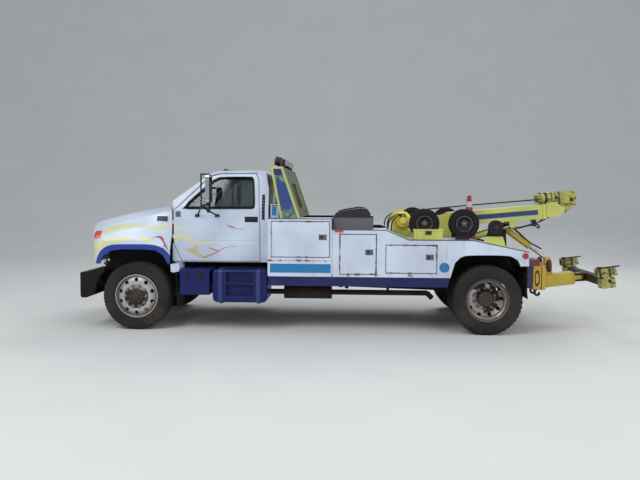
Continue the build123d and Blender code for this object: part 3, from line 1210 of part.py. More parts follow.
BARREL = ((RIM_HALF, FLANGE_R), (RIM_HALF - 12, FLANGE_R), (RIM_HALF - 12, BEAD_R), (70, 283), (50, 256), (-50, 256),
          (-70, 283), (-RIM_HALF + 12, BEAD_R), (-RIM_HALF + 12, FLANGE_R), (-RIM_HALF, FLANGE_R),
          (-RIM_HALF, 286), (-94, 272), (-62, 270), (-42, 243), (42, 243), (62, 270), (94, 272), (RIM_HALF, 286))
TYRE = ((-RIM_HALF + 12 + RUN, BEAD_R + RUN), (RIM_HALF - 12 - RUN, BEAD_R + RUN),
        (RIM_HALF - 12 - RUN, FLANGE_R + 2), (RIM_HALF, FLANGE_R + 6), (TYRE_W / 2 - 4, 335), (TYRE_W / 2, 385),
        (TYRE_W / 2 - 5, 430), (TYRE_W / 2 - 16, TYRE_R - 10), (TYRE_W / 2 - 34, TYRE_R),
        (-TYRE_W / 2 + 34, TYRE_R), (-TYRE_W / 2 + 16, TYRE_R - 10), (-TYRE_W / 2 + 5, 430), (-TYRE_W / 2, 385),
        (-TYRE_W / 2 + 4, 335), (-RIM_HALF, FLANGE_R + 6), (-RIM_HALF + 12 + RUN, FLANGE_R + 2))


def ring_of_bars(x, z, y0, y1, pcd, count, r, phase):
    """Round bars along y on a pitch circle."""
    out = []
    for n in range(count):
        a = radians(phase + 360 * n / count)
        px, pz = x + pcd / 2 * cos(a), z + pcd / 2 * sin(a)
        out.append(bar((px, y0, pz), (px, y1, pz), r))
    return out


def front_rim_left():
    y = -FRONT_TYRE_Y
    disc = ((62, 276), (86, 277), (104, 250), (118, 222), (120, 170), (120, 90), (102, 90), (102, 166),
            (98, 210), (84, 238))
    wheel = lathe(BARREL, 0, y, AXLE_Z, -1) + lathe(disc, 0, y, AXLE_Z, -1)
    for hole in ring_of_bars(0, AXLE_Z, y - 60, y - 150, HAND_HOLE_PCD, HAND_HOLES, HAND_HOLE_R, 18):
        wheel = wheel - hole
    hub = lathe(((-88, 0), (-88, DRUM_R), (60, DRUM_R), (72, 150), (103, 150), (103, HUB_R), (134, HUB_R - 6),
                 (140, 70), (140, 0)), 0, y, AXLE_Z, -1)
    hub = hub - bar((0, y + 120, AXLE_Z), (0, y - 106, AXLE_Z), SPINDLE_R + RUN)
    hub = hub - bar((0, y + 120, AXLE_Z), (0, y + 40, AXLE_Z), 110)
    studs = ring_of_bars(0, AXLE_Z, y - 100, y - 150, STUD_PCD, STUDS, STUD_R + 4, 0)
    return join(wheel, hub, *studs)


RIM_L = front_rim_left()
keep("front_rim_left", RIM_L)
keep("front_rim_right", join(flip(RIM_L)))
TYRE_L = join(lathe(TYRE, 0, -FRONT_TYRE_Y, AXLE_Z, -1))
keep("front_tyre_left", TYRE_L)
keep("front_tyre_right", join(flip(TYRE_L)))


# Rear twins: two rims on one hub with the brake drum behind them, and two tyres
def rear_rims_left():
    x = WHEELBASE
    y_out = -REAR_TYRE_Y
    y_in = -REAR_TYRE_Y + TWIN_PITCH
    dish = ((-94, 277), (-70, 277), (-104, 236), (-128, 205), (-128, 90), (-150, 90), (-150, 216), (-122, 244))
    outer = lathe(BARREL, x, y_out, AXLE_Z, -1) + lathe(dish, x, y_out, AXLE_Z, -1)
    inner = lathe(BARREL, x, y_in, AXLE_Z, -1) + lathe(dish, x, y_in, AXLE_Z, 1)
    wheel = outer + inner
    mid = (y_out + y_in) / 2
    for hole in ring_of_bars(x, AXLE_Z, mid - 60, mid + 60, HAND_HOLE_PCD, HAND_HOLES, HAND_HOLE_R, 0):
        wheel = wheel - hole
    hub = bar((x, mid + 23, AXLE_Z), (x, mid - 110, AXLE_Z), HUB_R)
    drum = bar((x, mid + 22, AXLE_Z), (x, mid + 236, AXLE_Z), DRUM_R)
    hub = hub + drum - bar((x, mid + 240, AXLE_Z), (x, mid + 8, AXLE_Z), SPINDLE_R + RUN)
    studs = ring_of_bars(x, AXLE_Z, mid - 20, mid - 54, STUD_PCD, STUDS, STUD_R + 4, 18)
    return join(wheel, hub, *studs)


RIMS_L = rear_rims_left()
keep("rear_rims_left", RIMS_L)
keep("rear_rims_right", join(flip(RIMS_L)))
TWINS_L = join(*[lathe(TYRE, WHEELBASE, -y, AXLE_Z, -1) for y in (REAR_TYRE_Y, REAR_TYRE_Y - TWIN_PITCH)])
keep("rear_tyres_left", TWINS_L)
keep("rear_tyres_right", join(flip(TWINS_L)))


# Gear on the locker tops: dolly wheels on their racks, mesh tray with its cover, tool box, levers and cone
DOLLY_X = (WHEELBASE - 830, WHEELBASE - 287)
DOLLY_Y = BODY_HALF - 330
DOLLY_R = 205


def dolly_wheels():
    wheels = []
    for x in DOLLY_X:
        z = LEVEL_3 + RUN + DOLLY_R
        tyre = ((-62, 0), (-62, 108), (-72, 150), (-68, 190), (-50, DOLLY_R), (50, DOLLY_R), (68, 190), (72, 150),
                (62, 108), (30, 100), (14, 60), (40, 56), (40, 0))
        wheels.append(lathe(tyre, x, -DOLLY_Y, z, -1))
    return both(*wheels)


keep("dolly_wheels", dolly_wheels())


REEL = (WHEELBASE + 124, 1450, 98)  # x, z, radius of the rope reel on the tail


def deck_gear():
    x0, x1 = STEP_X + 10, STEP_X + 554
    out, inn = BODY_HALF - 70, BODY_HALF - 500
    z0, z1 = LEVEL_2 + RUN, 1580
    tray = block(x0, x1, -out, -inn, z0, z1)
    tray = tray - block(x0 + 12, x1 - 12, -out + 12, -inn - 12, z0 + 12, z1 + 1)
    cover = side_plate([(x0 + 4, z1 + RUN), (x0 + 34, 1634), (x0 + 132, 1662), (x0 + 362, 1702), (x0 + 462, 1692),
                        (x0 + 500, 1640), (x0 + 508, z1 + RUN)], -out + 2, -inn - 2)
    box = block(WHEELBASE - 993, WHEELBASE - 609, -BODY_HALF + 40, -BODY_HALF + 220, LEVEL_3 + RUN, 1417)
    z = LEVEL_3 + RUN
    x, y = WHEELBASE - 341, -BODY_HALF + 95
    base = block(x - 90, x + 90, y - 35, y + 35, z, z + 46)
    levers = [bar((x + dx, y, z + 40), (x + dx, y, z + 148), 8) for dx in (-62, -18, 26, 68)]
    rx, rz, r = REEL
    y = -BODY_HALF + 240
    reel = lathe([(0, 0), (0, r), (12, r), (12, r - 34), (66, r - 34), (66, r), (78, r), (78, 0)], rx, y, rz, -1)
    fall = (LEVEL_3 - TAIL_TOP) / (BODY_REAR - TAIL_SLOPE_X)
    top = [(x, LEVEL_3 + RUN - fall * (x - TAIL_SLOPE_X)) for x in (rx + 150, rx - 150)]
    stand = side_plate([*top, (rx - 60, rz + 30), (rx + 60, rz + 30)], y - 0.5, y + 16)
    return both(tray, cover, box, join(base, *levers), join(reel, stand))


keep("deck_gear", deck_gear())


def traffic_cone():
    x, y = WHEELBASE - 132, -BODY_HALF + LOCKER_DEPTH + 260
    z = DECK_TOP + RUN
    foot = block(x - 150, x + 150, y - 150, y + 150, z, z + 26)
    return join(foot, Pos(x, y, z + 25 + 390) * Cone(120, 26, 780))


keep("traffic_cone", traffic_cone())

boxes = [shape.bounding_box() for shape in nodes.values()]
X_MID = (min(b.min.X for b in boxes) + max(b.max.X for b in boxes)) / 2
for name, shape in nodes.items():
    export_step(Pos(-X_MID, 0, 0) * shape, "parts/%s.step" % name)
print(len(nodes), "nodes")
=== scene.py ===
"""Tow truck in metres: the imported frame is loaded, then each section finishes or adds the pieces of one
part of the truck. The truck points along -X, its driver's side is -Y, and the ground is z = 0."""
import json
import math
import bpy
import bmesh
import numpy as np
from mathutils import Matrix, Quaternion, Vector

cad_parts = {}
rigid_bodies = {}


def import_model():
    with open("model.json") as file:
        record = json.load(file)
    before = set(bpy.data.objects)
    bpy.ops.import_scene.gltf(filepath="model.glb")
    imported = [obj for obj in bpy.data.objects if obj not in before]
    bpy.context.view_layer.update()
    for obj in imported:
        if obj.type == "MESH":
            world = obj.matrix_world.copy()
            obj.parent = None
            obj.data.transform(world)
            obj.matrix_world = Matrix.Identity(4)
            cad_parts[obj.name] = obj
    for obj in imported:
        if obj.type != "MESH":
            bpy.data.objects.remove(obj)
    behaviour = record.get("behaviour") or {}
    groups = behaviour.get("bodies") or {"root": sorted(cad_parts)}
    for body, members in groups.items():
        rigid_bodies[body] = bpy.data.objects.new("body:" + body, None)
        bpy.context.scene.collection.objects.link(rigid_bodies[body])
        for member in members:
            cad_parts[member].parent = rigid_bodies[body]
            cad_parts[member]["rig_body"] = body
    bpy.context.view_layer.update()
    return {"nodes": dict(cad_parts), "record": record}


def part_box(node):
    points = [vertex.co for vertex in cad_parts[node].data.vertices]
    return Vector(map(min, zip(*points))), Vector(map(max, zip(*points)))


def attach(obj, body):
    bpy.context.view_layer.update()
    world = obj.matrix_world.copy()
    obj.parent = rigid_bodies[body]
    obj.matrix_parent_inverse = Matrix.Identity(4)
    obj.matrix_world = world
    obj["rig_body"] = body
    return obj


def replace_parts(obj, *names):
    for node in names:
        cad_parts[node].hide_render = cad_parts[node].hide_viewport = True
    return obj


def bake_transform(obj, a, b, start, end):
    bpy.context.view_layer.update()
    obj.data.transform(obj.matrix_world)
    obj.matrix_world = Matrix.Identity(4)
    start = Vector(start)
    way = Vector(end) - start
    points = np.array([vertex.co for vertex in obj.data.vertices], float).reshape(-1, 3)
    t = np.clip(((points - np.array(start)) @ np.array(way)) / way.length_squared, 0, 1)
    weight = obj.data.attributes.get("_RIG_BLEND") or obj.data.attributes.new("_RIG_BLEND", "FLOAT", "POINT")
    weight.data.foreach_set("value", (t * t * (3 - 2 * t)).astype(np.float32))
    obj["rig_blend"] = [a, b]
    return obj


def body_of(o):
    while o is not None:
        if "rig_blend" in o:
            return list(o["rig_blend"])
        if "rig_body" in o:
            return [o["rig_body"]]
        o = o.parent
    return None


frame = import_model()

# Camera: it stands ten metres off the driver's side at eye height, level with the cab's rear edge,
# and looks slightly down, with the lens of the photograph. Places along x are metres behind the front axle.
AXLE = sum(corner.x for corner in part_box("front_tyre_left")) / 2
CAMERA_BEHIND_AXLE, CAMERA_OFF, CAMERA_HEIGHT = 2.968, -10.179, 1.820
CAMERA_YAW, CAMERA_PITCH, CAMERA_ROLL = (math.radians(a) for a in (-2.71, -3.50, 0.29))
CAMERA_LENS, CAMERA_REACH = 37.5, 200


def placed(name, data):
    """An object that shows the data, in the scene."""
    piece = bpy.data.objects.new(name, data)
    bpy.context.scene.collection.objects.link(piece)
    return piece


lens = bpy.data.cameras.new("camera")
lens.lens = CAMERA_LENS
lens.clip_end = CAMERA_REACH
camera = placed("camera", lens)
sight = Vector((math.sin(CAMERA_YAW) * math.cos(CAMERA_PITCH), math.cos(CAMERA_YAW) * math.cos(CAMERA_PITCH),
                math.sin(CAMERA_PITCH)))
camera.rotation_mode = "QUATERNION"
camera.rotation_quaternion = Quaternion(sight, -CAMERA_ROLL) @ sight.to_track_quat("-Z", "Y")
camera.location = (AXLE + CAMERA_BEHIND_AXLE, CAMERA_OFF, CAMERA_HEIGHT)
bpy.context.scene.camera = camera
bpy.context.scene.view_settings.view_transform = "Standard"


# Stage: a pale floor that sweeps up behind the truck, a white world that only the camera and the glass
# see, and soft lamps. It isn't part of the truck.
FLOOR_HALF, SWEEP_START, SWEEP_R, WALL_TOP = 40.0, 9.0, 12.0, 30.0


def srgb(red, green, blue):
    """The linear colour that a shader takes, from display values of 0 to 255."""
    c = np.array([red, green, blue]) / 255.0
    return (*np.where(c <= 0.04045, c / 12.92, ((c + 0.055) / 1.055) ** 2.4), 1.0)


def feed(node, inputs):
    """Sets or links a node's inputs: each is a plain value or another node's output."""
    for key, value in inputs.items():
        if isinstance(value, bpy.types.NodeSocket):
            node.id_data.links.new(value, node.inputs[key])
        else:
            node.inputs[key].default_value = value


def add(owner, kind, inputs=None, **settings):
    """A shader node with its settings and inputs. It goes into the owner's tree: the owner is the tree itself
    or a socket in it."""
    made = owner.id_data.nodes.new("ShaderNode" + kind)
    for key, value in settings.items():
        setattr(made, key, value)
    feed(made, inputs or {})
    return made


def new_material(name):
    """An empty material: its node tree, and its Principled shader joined to the output."""
    material = bpy.data.materials.new(name)
    material.use_nodes = True
    tree = material.node_tree
    tree.nodes.clear()
    shader = add(tree, "BsdfPrincipled")
    add(tree, "OutputMaterial", {"Surface": shader.outputs[0]})
    return material, tree, shader


def patch(points, closed=(False, True), caps=True, finish=0):
    """A grid of points [u, v, 3] as its vertices, quads and caps: one quad for each cell, wrapped round where
    closed, and one face over each open end of u where caps is true. finish is the number of its material."""
    rows, columns = points.shape[:2]
    u = np.arange(rows if closed[0] else rows - 1)
    v = np.arange(columns if closed[1] else columns - 1)
    a, b = np.meshgrid(u, v, indexing="ij")
    c, d = (a + 1) % rows, (b + 1) % columns
    quads = np.stack([a * columns + b, c * columns + b, c * columns + d, a * columns + d], -1).reshape(-1, 4)
    ends = np.stack([np.arange(columns)[::-1], (rows - 1) * columns + np.arange(columns)])
    return points.reshape(-1, 3), quads, ends if caps else ends[:0], finish


def surface(name, *patches, outward=True):
    """One mesh object from patches, whose places along x are behind the front axle. Doubles are merged and
    the faces of closed forms turned outwards."""
    places, faces, finishes, start = [], [], [], 0
    for points, quads, ends, finish in patches:
        places.append(points + (AXLE, 0, 0))
        faces += (quads + start).tolist() + (ends + start).tolist()
        finishes += [finish] * (len(quads) + len(ends))
        start += len(points)
    mesh = bpy.data.meshes.new(name)
    mesh.from_pydata(np.concatenate(places).tolist(), [], faces)
    mesh.polygons.foreach_set("material_index", finishes)
    if outward:
        work = bmesh.new()
        work.from_mesh(mesh)
        bmesh.ops.remove_doubles(work, verts=work.verts, dist=1e-6)
        bmesh.ops.recalc_face_normals(work, faces=work.faces)
        work.to_mesh(mesh)
        work.free()
    mesh.shade_smooth()
    return placed(name, mesh)


bend = np.linspace(0, math.pi / 2, 24)
run_y = np.concatenate([[-FLOOR_HALF], SWEEP_START + SWEEP_R * np.sin(bend), [SWEEP_START + SWEEP_R]])
run_z = np.concatenate([[0.0], SWEEP_R * (1 - np.cos(bend)), [WALL_TOP]])
run_x = np.linspace(-FLOOR_HALF, FLOOR_HALF, 3)
sweep = np.stack(np.broadcast_arrays(run_x[:, None], run_y, run_z), -1)
floor = surface("studio_floor", patch(sweep, (False, False), caps=False), outward=False)
material, tree, shader = new_material("studio paper")
paper = add(tree, "TexNoise", {"Vector": add(tree, "TexCoord").outputs["Object"], "Scale": 0.8, "Detail": 4})
tone = add(tree, "ValToRGB", {"Fac": paper.outputs["Fac"]})
tone.color_ramp.elements[0].color = srgb(214, 214, 212)
tone.color_ramp.elements[1].color = srgb(224, 224, 222)
feed(shader, {"Base Color": tone.outputs[0], "Roughness": 0.9})
floor.data.materials.append(material)

world = bpy.data.worlds.new("studio")
bpy.context.scene.world = world
world.use_nodes = True
tree = world.node_tree
tree.nodes.clear()
rays = add(tree, "LightPath")
seen = add(tree, "Math", {0: rays.outputs["Is Camera Ray"], 1: rays.outputs["Is Transmission Ray"]},
           operation="MAXIMUM")
fill = add(tree, "Background", {"Color": (0.86, 0.93, 1.0, 1), "Strength": 0.50})
white = add(tree, "Background", {"Color": (0.93, 0.95, 0.97, 1), "Strength": 0.9})
both = add(tree, "MixShader", {0: seen.outputs[0], 1: fill.outputs[0], 2: white.outputs[0]})
add(tree, "OutputWorld", {"Surface": both.outputs[0]})

# name, place, watts, side in metres
LAMPS = (("key lamp", (-6.0, -9.0, 9.0), 660, 6.0), ("fill lamp", (7.0, -8.0, 6.0), 330, 7.0),
         ("back lamp", (2.0, 8.0, 8.5), 480, 6.0))
LIT_PLACE = Vector((0, 0, 0.9))
for name, place, watts, side in LAMPS:
    light = bpy.data.lights.new(name, "AREA")
    light.energy = watts
    light.size = side
    lamp = placed(name, light)
    lamp.location = place
    lamp.visible_camera = False
    lamp.rotation_euler = (LIT_PLACE - Vector(place)).to_track_quat("-Z", "Y").to_euler()


# Chassis frame: two pressed channel rails with crossmembers, riveted together and sprayed black, under road
# dust. The rails are the CAD's own; the finish and the rounded edges are added here.
FRAME_BLACK, DUST_TAN, RUST_BROWN = (20, 19, 19), (132, 116, 100), (96, 58, 36)
EDGE_ANGLE, FLAT_WITHIN, MERGED_WITHIN = math.radians(32), math.radians(0.6), 2e-5


def maths(operation, takes=2):
    """A function that adds a Math node on plain values and other nodes' outputs and returns its output. A node
    takes that many values, and each further value gets one more node after it."""
    def result(*values):
        owner = next(value for value in values if isinstance(value, bpy.types.NodeSocket))
        last = add(owner, "Math", dict(enumerate(values[:takes])), operation=operation).outputs[0]
        for value in values[takes:]:
            last = add(owner, "Math", {0: last, 1: value}, operation=operation).outputs[0]
        return last
    return result


plus, less, times = maths("ADD"), maths("SUBTRACT"), maths("MULTIPLY")
most, least, linear = maths("MAXIMUM"), maths("MINIMUM"), maths("MULTIPLY_ADD", 3)
absolute, sine, root = maths("ABSOLUTE"), maths("SINE"), maths("SQRT")


def rise(value, low, high):
    """0 below low and 1 above high, with a smooth step between them."""
    return add(value, "MapRange", {0: value, 1: low, 2: high}, interpolation_type="SMOOTHSTEP").outputs[0]


def fall(value, low, high):
    """1 below low and 0 above high, with a smooth step between them."""
    return less(1.0, rise(value, low, high))


def tint(share, first, second):
    """The first colour where share is 0 and the second where it is 1. A colour is another node's output,
    display values of 0 to 255, or four linear ones."""
    first, second = (c if isinstance(c, bpy.types.NodeSocket) or len(c) == 4 else srgb(*c)
                     for c in (first, second))
    return add(share, "Mix", {0: share, 6: first, 7: second}, data_type="RGBA").outputs[2]


def cloud(place, scale, detail=4, stretch=(1, 1, 1)):
    """Smooth noise about 0.5 at the given scale, drawn out along an axis whose stretch is below 1."""
    spread = add(place, "Mapping", {"Vector": place, "Scale": stretch}).outputs[0]
    return add(place, "TexNoise", {"Vector": spread, "Scale": scale, "Detail": detail}).outputs["Fac"]


def parts_of(place):
    """A place's x, y and z."""
    return add(place, "SeparateXYZ", {0: place}).outputs


def node_group(name, inputs, outputs):
    """An empty shader node group with its sockets: inputs and outputs map a name to a socket's kind."""
    tree = bpy.data.node_groups.new(name, "ShaderNodeTree")
    for way, sockets in (("INPUT", inputs), ("OUTPUT", outputs)):
        for label, kind in sockets.items():
            tree.interface.new_socket(label, in_out=way, socket_type="NodeSocket" + kind)
    return tree, tree.nodes.new("NodeGroupInput").outputs, tree.nodes.new("NodeGroupOutput").inputs


# Weathering of every painted piece. Dust gathers low down and on faces that look up. Paint is worn where the
# bevelled normal leaves the face's own, and chipped where fine noise is high. Rust runs down in streaks.
weathering, given, puts = node_group(
    "weathering",
    {"Colour": "Color", "Under": "Color", "Dust": "Float", "Wear": "Float", "Chips": "Float", "Runs": "Float",
     "Roughness": "Float"},
    {"Colour": "Color", "Roughness": "Float", "Height": "Float", "Normal": "Vector"})
tree = weathering
coordinates = add(tree, "TexCoord").outputs
height = parts_of(coordinates["Object"])[2]
upward = parts_of(coordinates["Normal"])[2]
broad = cloud(coordinates["Object"], 2.3, 5)
fine = cloud(coordinates["Object"], 55, 3)
speck = cloud(coordinates["Object"], 24, 6)
streak = cloud(coordinates["Object"], 20, 4, (1, 1, 0.07))
amount = linear(fall(height, 0.15, 1.35), 0.75, linear(rise(upward, 0.3, 1.0), 0.5, 0.16))
dust = times(amount, rise(broad, 0.28, 0.72), rise(fine, 0.2, 0.65), given["Dust"])
rounded = add(tree, "Bevel", {"Radius": 0.005}, samples=4).outputs[0]
facing = add(tree, "VectorMath", {0: rounded, 1: add(tree, "NewGeometry").outputs["Normal"]},
             operation="DOT_PRODUCT").outputs["Value"]
edge = times(rise(less(1.0, facing), 0.01, 0.12), rise(speck, 0.42, 0.6))
chipped = rise(less(speck, linear(given["Chips"], -0.16, 0.80)), 0.0, 0.02)
bare = most(times(edge, given["Wear"]), chipped)
run = times(rise(streak, 0.56, 0.76), given["Runs"], rise(broad, 0.4, 0.6))
rusty = tint(rise(fine, 0.35, 0.65), (66, 40, 28), given["Under"])
colour = tint(bare, tint(run, given["Colour"], RUST_BROWN), rusty)
rough = linear(fine, 0.08, linear(bare, 0.35, linear(dust, 0.5, given["Roughness"])))
relief = linear(bare, -0.6, times(fine, 0.12))
for label, source in (("Colour", tint(dust, colour, DUST_TAN)), ("Roughness", rough), ("Height", relief),
                      ("Normal", rounded)):
    tree.links.new(source, puts[label])


def painted(name, colour, rough, age, coat=0.0, metal=0.0, mirror=0.5, under=RUST_BROWN, decor=None):
    """Weathered paint. age is how much dust, wear, chips and rust runs show, with noughts left off its end.
    mirror is how much the surface itself reflects, low for rubber. decor draws stripes on the clean colour: it
    takes the place behind the front axle and the colour so far, and returns the new colour."""
    material, tree, shader = new_material(name)
    place = add(tree, "VectorMath", {0: add(tree, "TexCoord").outputs["Object"], 1: (AXLE, 0, 0)},
                operation="SUBTRACT").outputs[0]
    base = tint(rise(cloud(place, 1.4, 3), 0.3, 0.7), [0.9 * c for c in colour], colour)
    if decor:
        base = decor(place, base)
    dust, wear, chips, runs = (*age, 0.0, 0.0, 0.0)[:4]
    aged = add(tree, "Group", node_tree=weathering)
    feed(aged, {"Colour": base, "Under": srgb(*under), "Dust": dust, "Wear": wear, "Chips": chips, "Runs": runs,
                "Roughness": rough})
    bump = add(tree, "Bump", {"Height": aged.outputs["Height"], "Normal": aged.outputs["Normal"],
                              "Strength": 0.3, "Distance": 0.002})
    feed(shader, {"Base Color": aged.outputs["Colour"], "Roughness": aged.outputs["Roughness"],
                  "Normal": bump.outputs[0], "Specular IOR Level": mirror, "Coat Weight": coat,
                  "Coat Roughness": 0.12, "Metallic": metal})
    return material


SLOTS = {part["node"]: part["material_slot"] for part in frame["record"]["subparts"]}


def round_edges(piece, width):
    """Rounds the piece's sharp edges with a live bevel."""
    bevel = piece.modifiers.new("rounded edges", "BEVEL")
    bevel.width = width
    bevel.segments = 2
    bevel.limit_method = "ANGLE"
    bevel.angle_limit = EDGE_ANGLE
    bevel.harden_normals = True


def dressed(node, *finishes, edge=0.003, choose=None):
    """The CAD node's solids as a finished piece: triangles merged, flat faces made whole, edges rounded by
    edge. choose gives each face the number of its finish, from the faces' middles, which are measured from the
    front axle along x, and their normals."""
    source = frame["nodes"][node]
    work = bmesh.new()
    work.from_mesh(source.data)
    bmesh.ops.remove_doubles(work, verts=work.verts, dist=MERGED_WITHIN)
    bmesh.ops.dissolve_limit(work, angle_limit=FLAT_WITHIN, verts=work.verts, edges=work.edges)
    mesh = bpy.data.meshes.new(node + "_finished")
    work.to_mesh(mesh)
    work.free()
    mesh.shade_smooth()
    mesh.set_sharp_from_angle(angle=EDGE_ANGLE)
    piece = placed(node + "_finished", mesh)
    for finish in finishes:
        mesh.materials.append(finish)
    if choose:
        middles, normals = np.empty((2, len(mesh.polygons) * 3))
        mesh.polygons.foreach_get("center", middles)
        mesh.polygons.foreach_get("normal", normals)
        chosen = choose(middles.reshape(-1, 3) - (AXLE, 0, 0), normals.reshape(-1, 3))
        mesh.polygons.foreach_set("material_index", np.asarray(chosen, dtype=np.int32))
    if edge:
        round_edges(piece, edge)
    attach(piece, body_of(source)[0])
    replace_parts(piece, node)
    return piece


def added(name, body, slot, finishes, *patches, edge=0.0, both=False):
    """A new piece made of patches, with its finishes, that rides on a body. Where both is true, the patches'
    mirror images on the other side of the truck belong to it too."""
    piece = surface(name, *patches, *(mirrored(*patches) if both else ()))
    for finish in finishes:
        piece.data.materials.append(finish)
    piece.data.set_sharp_from_angle(angle=EDGE_ANGLE)
    if edge:
        round_edges(piece, edge)
    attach(piece, body)
    return piece


def circle(radius, sides=10):
    """A round outline of (a, b) places."""
    angle = np.linspace(0, 2 * math.pi, sides, endpoint=False)
    return radius * np.stack([np.cos(angle), np.sin(angle)], 1)


def strip(width, thick):
    """A flat rectangular outline of (a, b) places."""
    return np.array([(-width, -thick), (width, -thick), (width, thick), (-width, thick)]) / 2


def carried(outline, path, finish=0, loop=False, twist=0.0):
    """An outline carried along a path: each place (a, b) stands a along one side vector and b along the cross
    product of the path's tangent and it. twist is the outline's turn along the path, in radians."""
    path = np.asarray(path, float)
    whole = np.concatenate([path[-1:], path, path[:1]]) if loop else path
    ahead = np.gradient(whole, axis=0)
    ahead = ahead[1:-1] if loop else ahead
    ahead = ahead / np.linalg.norm(ahead, axis=1)[:, None]
    across = np.eye(3)[np.abs(ahead).max(0).argmin()]
    side = across - ahead * (ahead @ across)[:, None]
    side = side / np.linalg.norm(side, axis=1)[:, None]
    up = np.cross(ahead, side)
    turn = np.linspace(0, twist, len(path))[:, None]
    a = outline[:, 0] * np.cos(turn) - outline[:, 1] * np.sin(turn)
    b = outline[:, 0] * np.sin(turn) + outline[:, 1] * np.cos(turn)
    points = path[:, None] + a[..., None] * side[:, None] + b[..., None] * up[:, None]
    return patch(points, (loop, True), not loop, finish)


def curved(points, steps=8):
    """A smooth line through the points: Catmull-Rom pieces, whose tangent at a point is along the chord of the
    points on both sides of it."""
    p = np.asarray(points, float)
    p = np.concatenate([2 * p[:1] - p[1:2], p, 2 * p[-1:] - p[-2:-1]])
    t = np.linspace(0, 1, steps, endpoint=False)[None, :, None]
    a, b, c, d = p[:-3, None], p[1:-2, None], p[2:-1, None], p[3:, None]
    line = 0.5 * (2 * b + (c - a) * t + (2 * a - 5 * b + 4 * c - d) * t ** 2 + (3 * b - a - 3 * c + d) * t ** 3)
    return np.concatenate([line.reshape(-1, 3), p[-2:-1]])


def turned(profile, centre, axis="y", sides=32, finish=0, loop=False):
    """An outline turned round an axis: each row is (radius, place along the axis from centre)."""
    profile = np.asarray(profile, float)
    angle = np.linspace(0, 2 * math.pi, sides, endpoint=False)
    first, second, along = {"y": (0, 2, 1), "x": (1, 2, 0), "z": (0, 1, 2)}[axis]
    points = np.empty((len(profile), sides, 3))
    points[..., first] = profile[:, :1] * np.cos(angle)
    points[..., second] = profile[:, :1] * np.sin(angle)
    points[..., along] = profile[:, 1:]
    return patch(points + np.asarray(centre), (loop, True), not loop, finish)


def stub(radius, low, high, centre, axis="y", sides=6, finish=0):
    """A bolt's head or another short stub between two places along its axis from centre."""
    return turned([(0.0, low), (radius, low), (radius, high), (0.0, high)], centre, axis, sides, finish)


def cut_plate(outline, y, finish=0):
    """A flat plate cut to an outline of (x, z) places, between two places across the truck."""
    outline = np.asarray(outline, float)
    points = np.empty((2, len(outline), 3))
    points[..., 0], points[..., 2] = outline[:, 0], outline[:, 1]
    points[..., 1] = np.array(y)[:, None]
    return patch(points, finish=finish)


def slab(x, y, z, finish=0):
    """A rectangular plate between two places along each axis."""
    return cut_plate([(x[0], z[0]), (x[1], z[0]), (x[1], z[1]), (x[0], z[1])], y, finish)


def mirrored(*patches):
    """The patches' images on the other side of the truck's middle."""
    return [(points * (1, -1, 1), *faces) for points, *faces in patches]


def on_side(side, patches):
    """Patches of the left side as they are, or their images for the right side."""
    return mirrored(*patches) if side == "right" else patches


chassis_paint = painted("chassis black", FRAME_BLACK, 0.55, (0.2, 0.5, 0.5, 0.3), mirror=0.3)
for node in ("frame_rails", "axles", "leaf_springs", "knuckle_left", "knuckle_right", "tie_rod", "deck"):
    dressed(node, chassis_paint, edge=0.002)

# Splash shields: thin steel sheets that close the wheel housings towards the engine. They stand on tabs that
# are bolted to the frame rails.
shield = cut_plate([(-0.600, 0.790), (0.420, 0.790), (0.440, 0.870), (0.440, 1.150), (0.300, 1.240),
                    (-0.480, 1.160), (-0.600, 1.000)],
                   (-0.524, -0.520))
tabs = [slab((x - 0.020, x + 0.020), (-0.524, -0.436), (0.792, 0.797)) for x in (-0.45, -0.10, 0.25)]
added("splash_shields", "truck", "frame_black", [chassis_paint], shield, *tabs, both=True, edge=0.001)


# Running gear under the deck: the engine's cast block, the propeller shaft and the exhaust with its
# aluminised muffler, all bare or scaled metal, brown with heat and dust.
cast_iron = painted("cast iron", (44, 40, 37), 0.7, (0.4, 0.2, 0.4, 0.3), mirror=0.3)
scaled_steel = painted("scaled steel", (50, 39, 34), 0.65, (0.3, 0.3, 0.8, 0.5), metal=0.3, mirror=0.3)
dressed("engine_block", cast_iron)
dressed("prop_shaft", scaled_steel, edge=0.001)
dressed("exhaust", scaled_steel, edge=0.001)


# Front bumper: one folded steel channel with side plates, sprayed satin black and scuffed at its corners. Its
# returns along the fenders are a duller black.
bumper_paint = painted("bumper black", (9, 9, 10), 0.42, (0.06, 0.5, 0.3, 0.1), mirror=0.35)
bumper_dark = painted("bumper side black", (8, 8, 9), 0.55, (0.04, 0.4, 0.2, 0.1), mirror=0.25)
dressed("front_bumper", bumper_paint, bumper_dark, edge=0.005,
        choose=lambda middle, normal: (middle[:, 0] > -0.70).astype(int))


# Tanks and battery boxes: pressed steel in the fleet's blue. Two bolted straps go round each tank, its step has
# small grips, and the battery box's lid is held by two wire latches.
TANK_BLUE = (11, 26, 92)
STRAP_X, STRAP_W = (1.180, 1.702), 0.052
tank_paint = painted("tank blue", TANK_BLUE, 0.35, (0.04, 0.6, 0.2, 0.15), coat=0.06, mirror=0.25,
                     under=(112, 104, 96))
strap_paint = painted("strap blue", (24, 44, 116), 0.4, (0.14, 0.8, 0.3, 0.3), coat=0.2, under=(120, 116, 112))
dressed("side_tanks", tank_paint, edge=0.006)
round_tank = np.array([(-0.80, 0.849), (-1.05, 0.849), (-1.165, 0.849), (-1.190, 0.843), (-1.2025, 0.824),
                       (-1.2035, 0.76), (-1.2035, 0.625), (-1.2035, 0.49), (-1.2025, 0.426), (-1.190, 0.407),
                       (-1.165, 0.401), (-1.05, 0.401), (-0.80, 0.401)])
straps = []
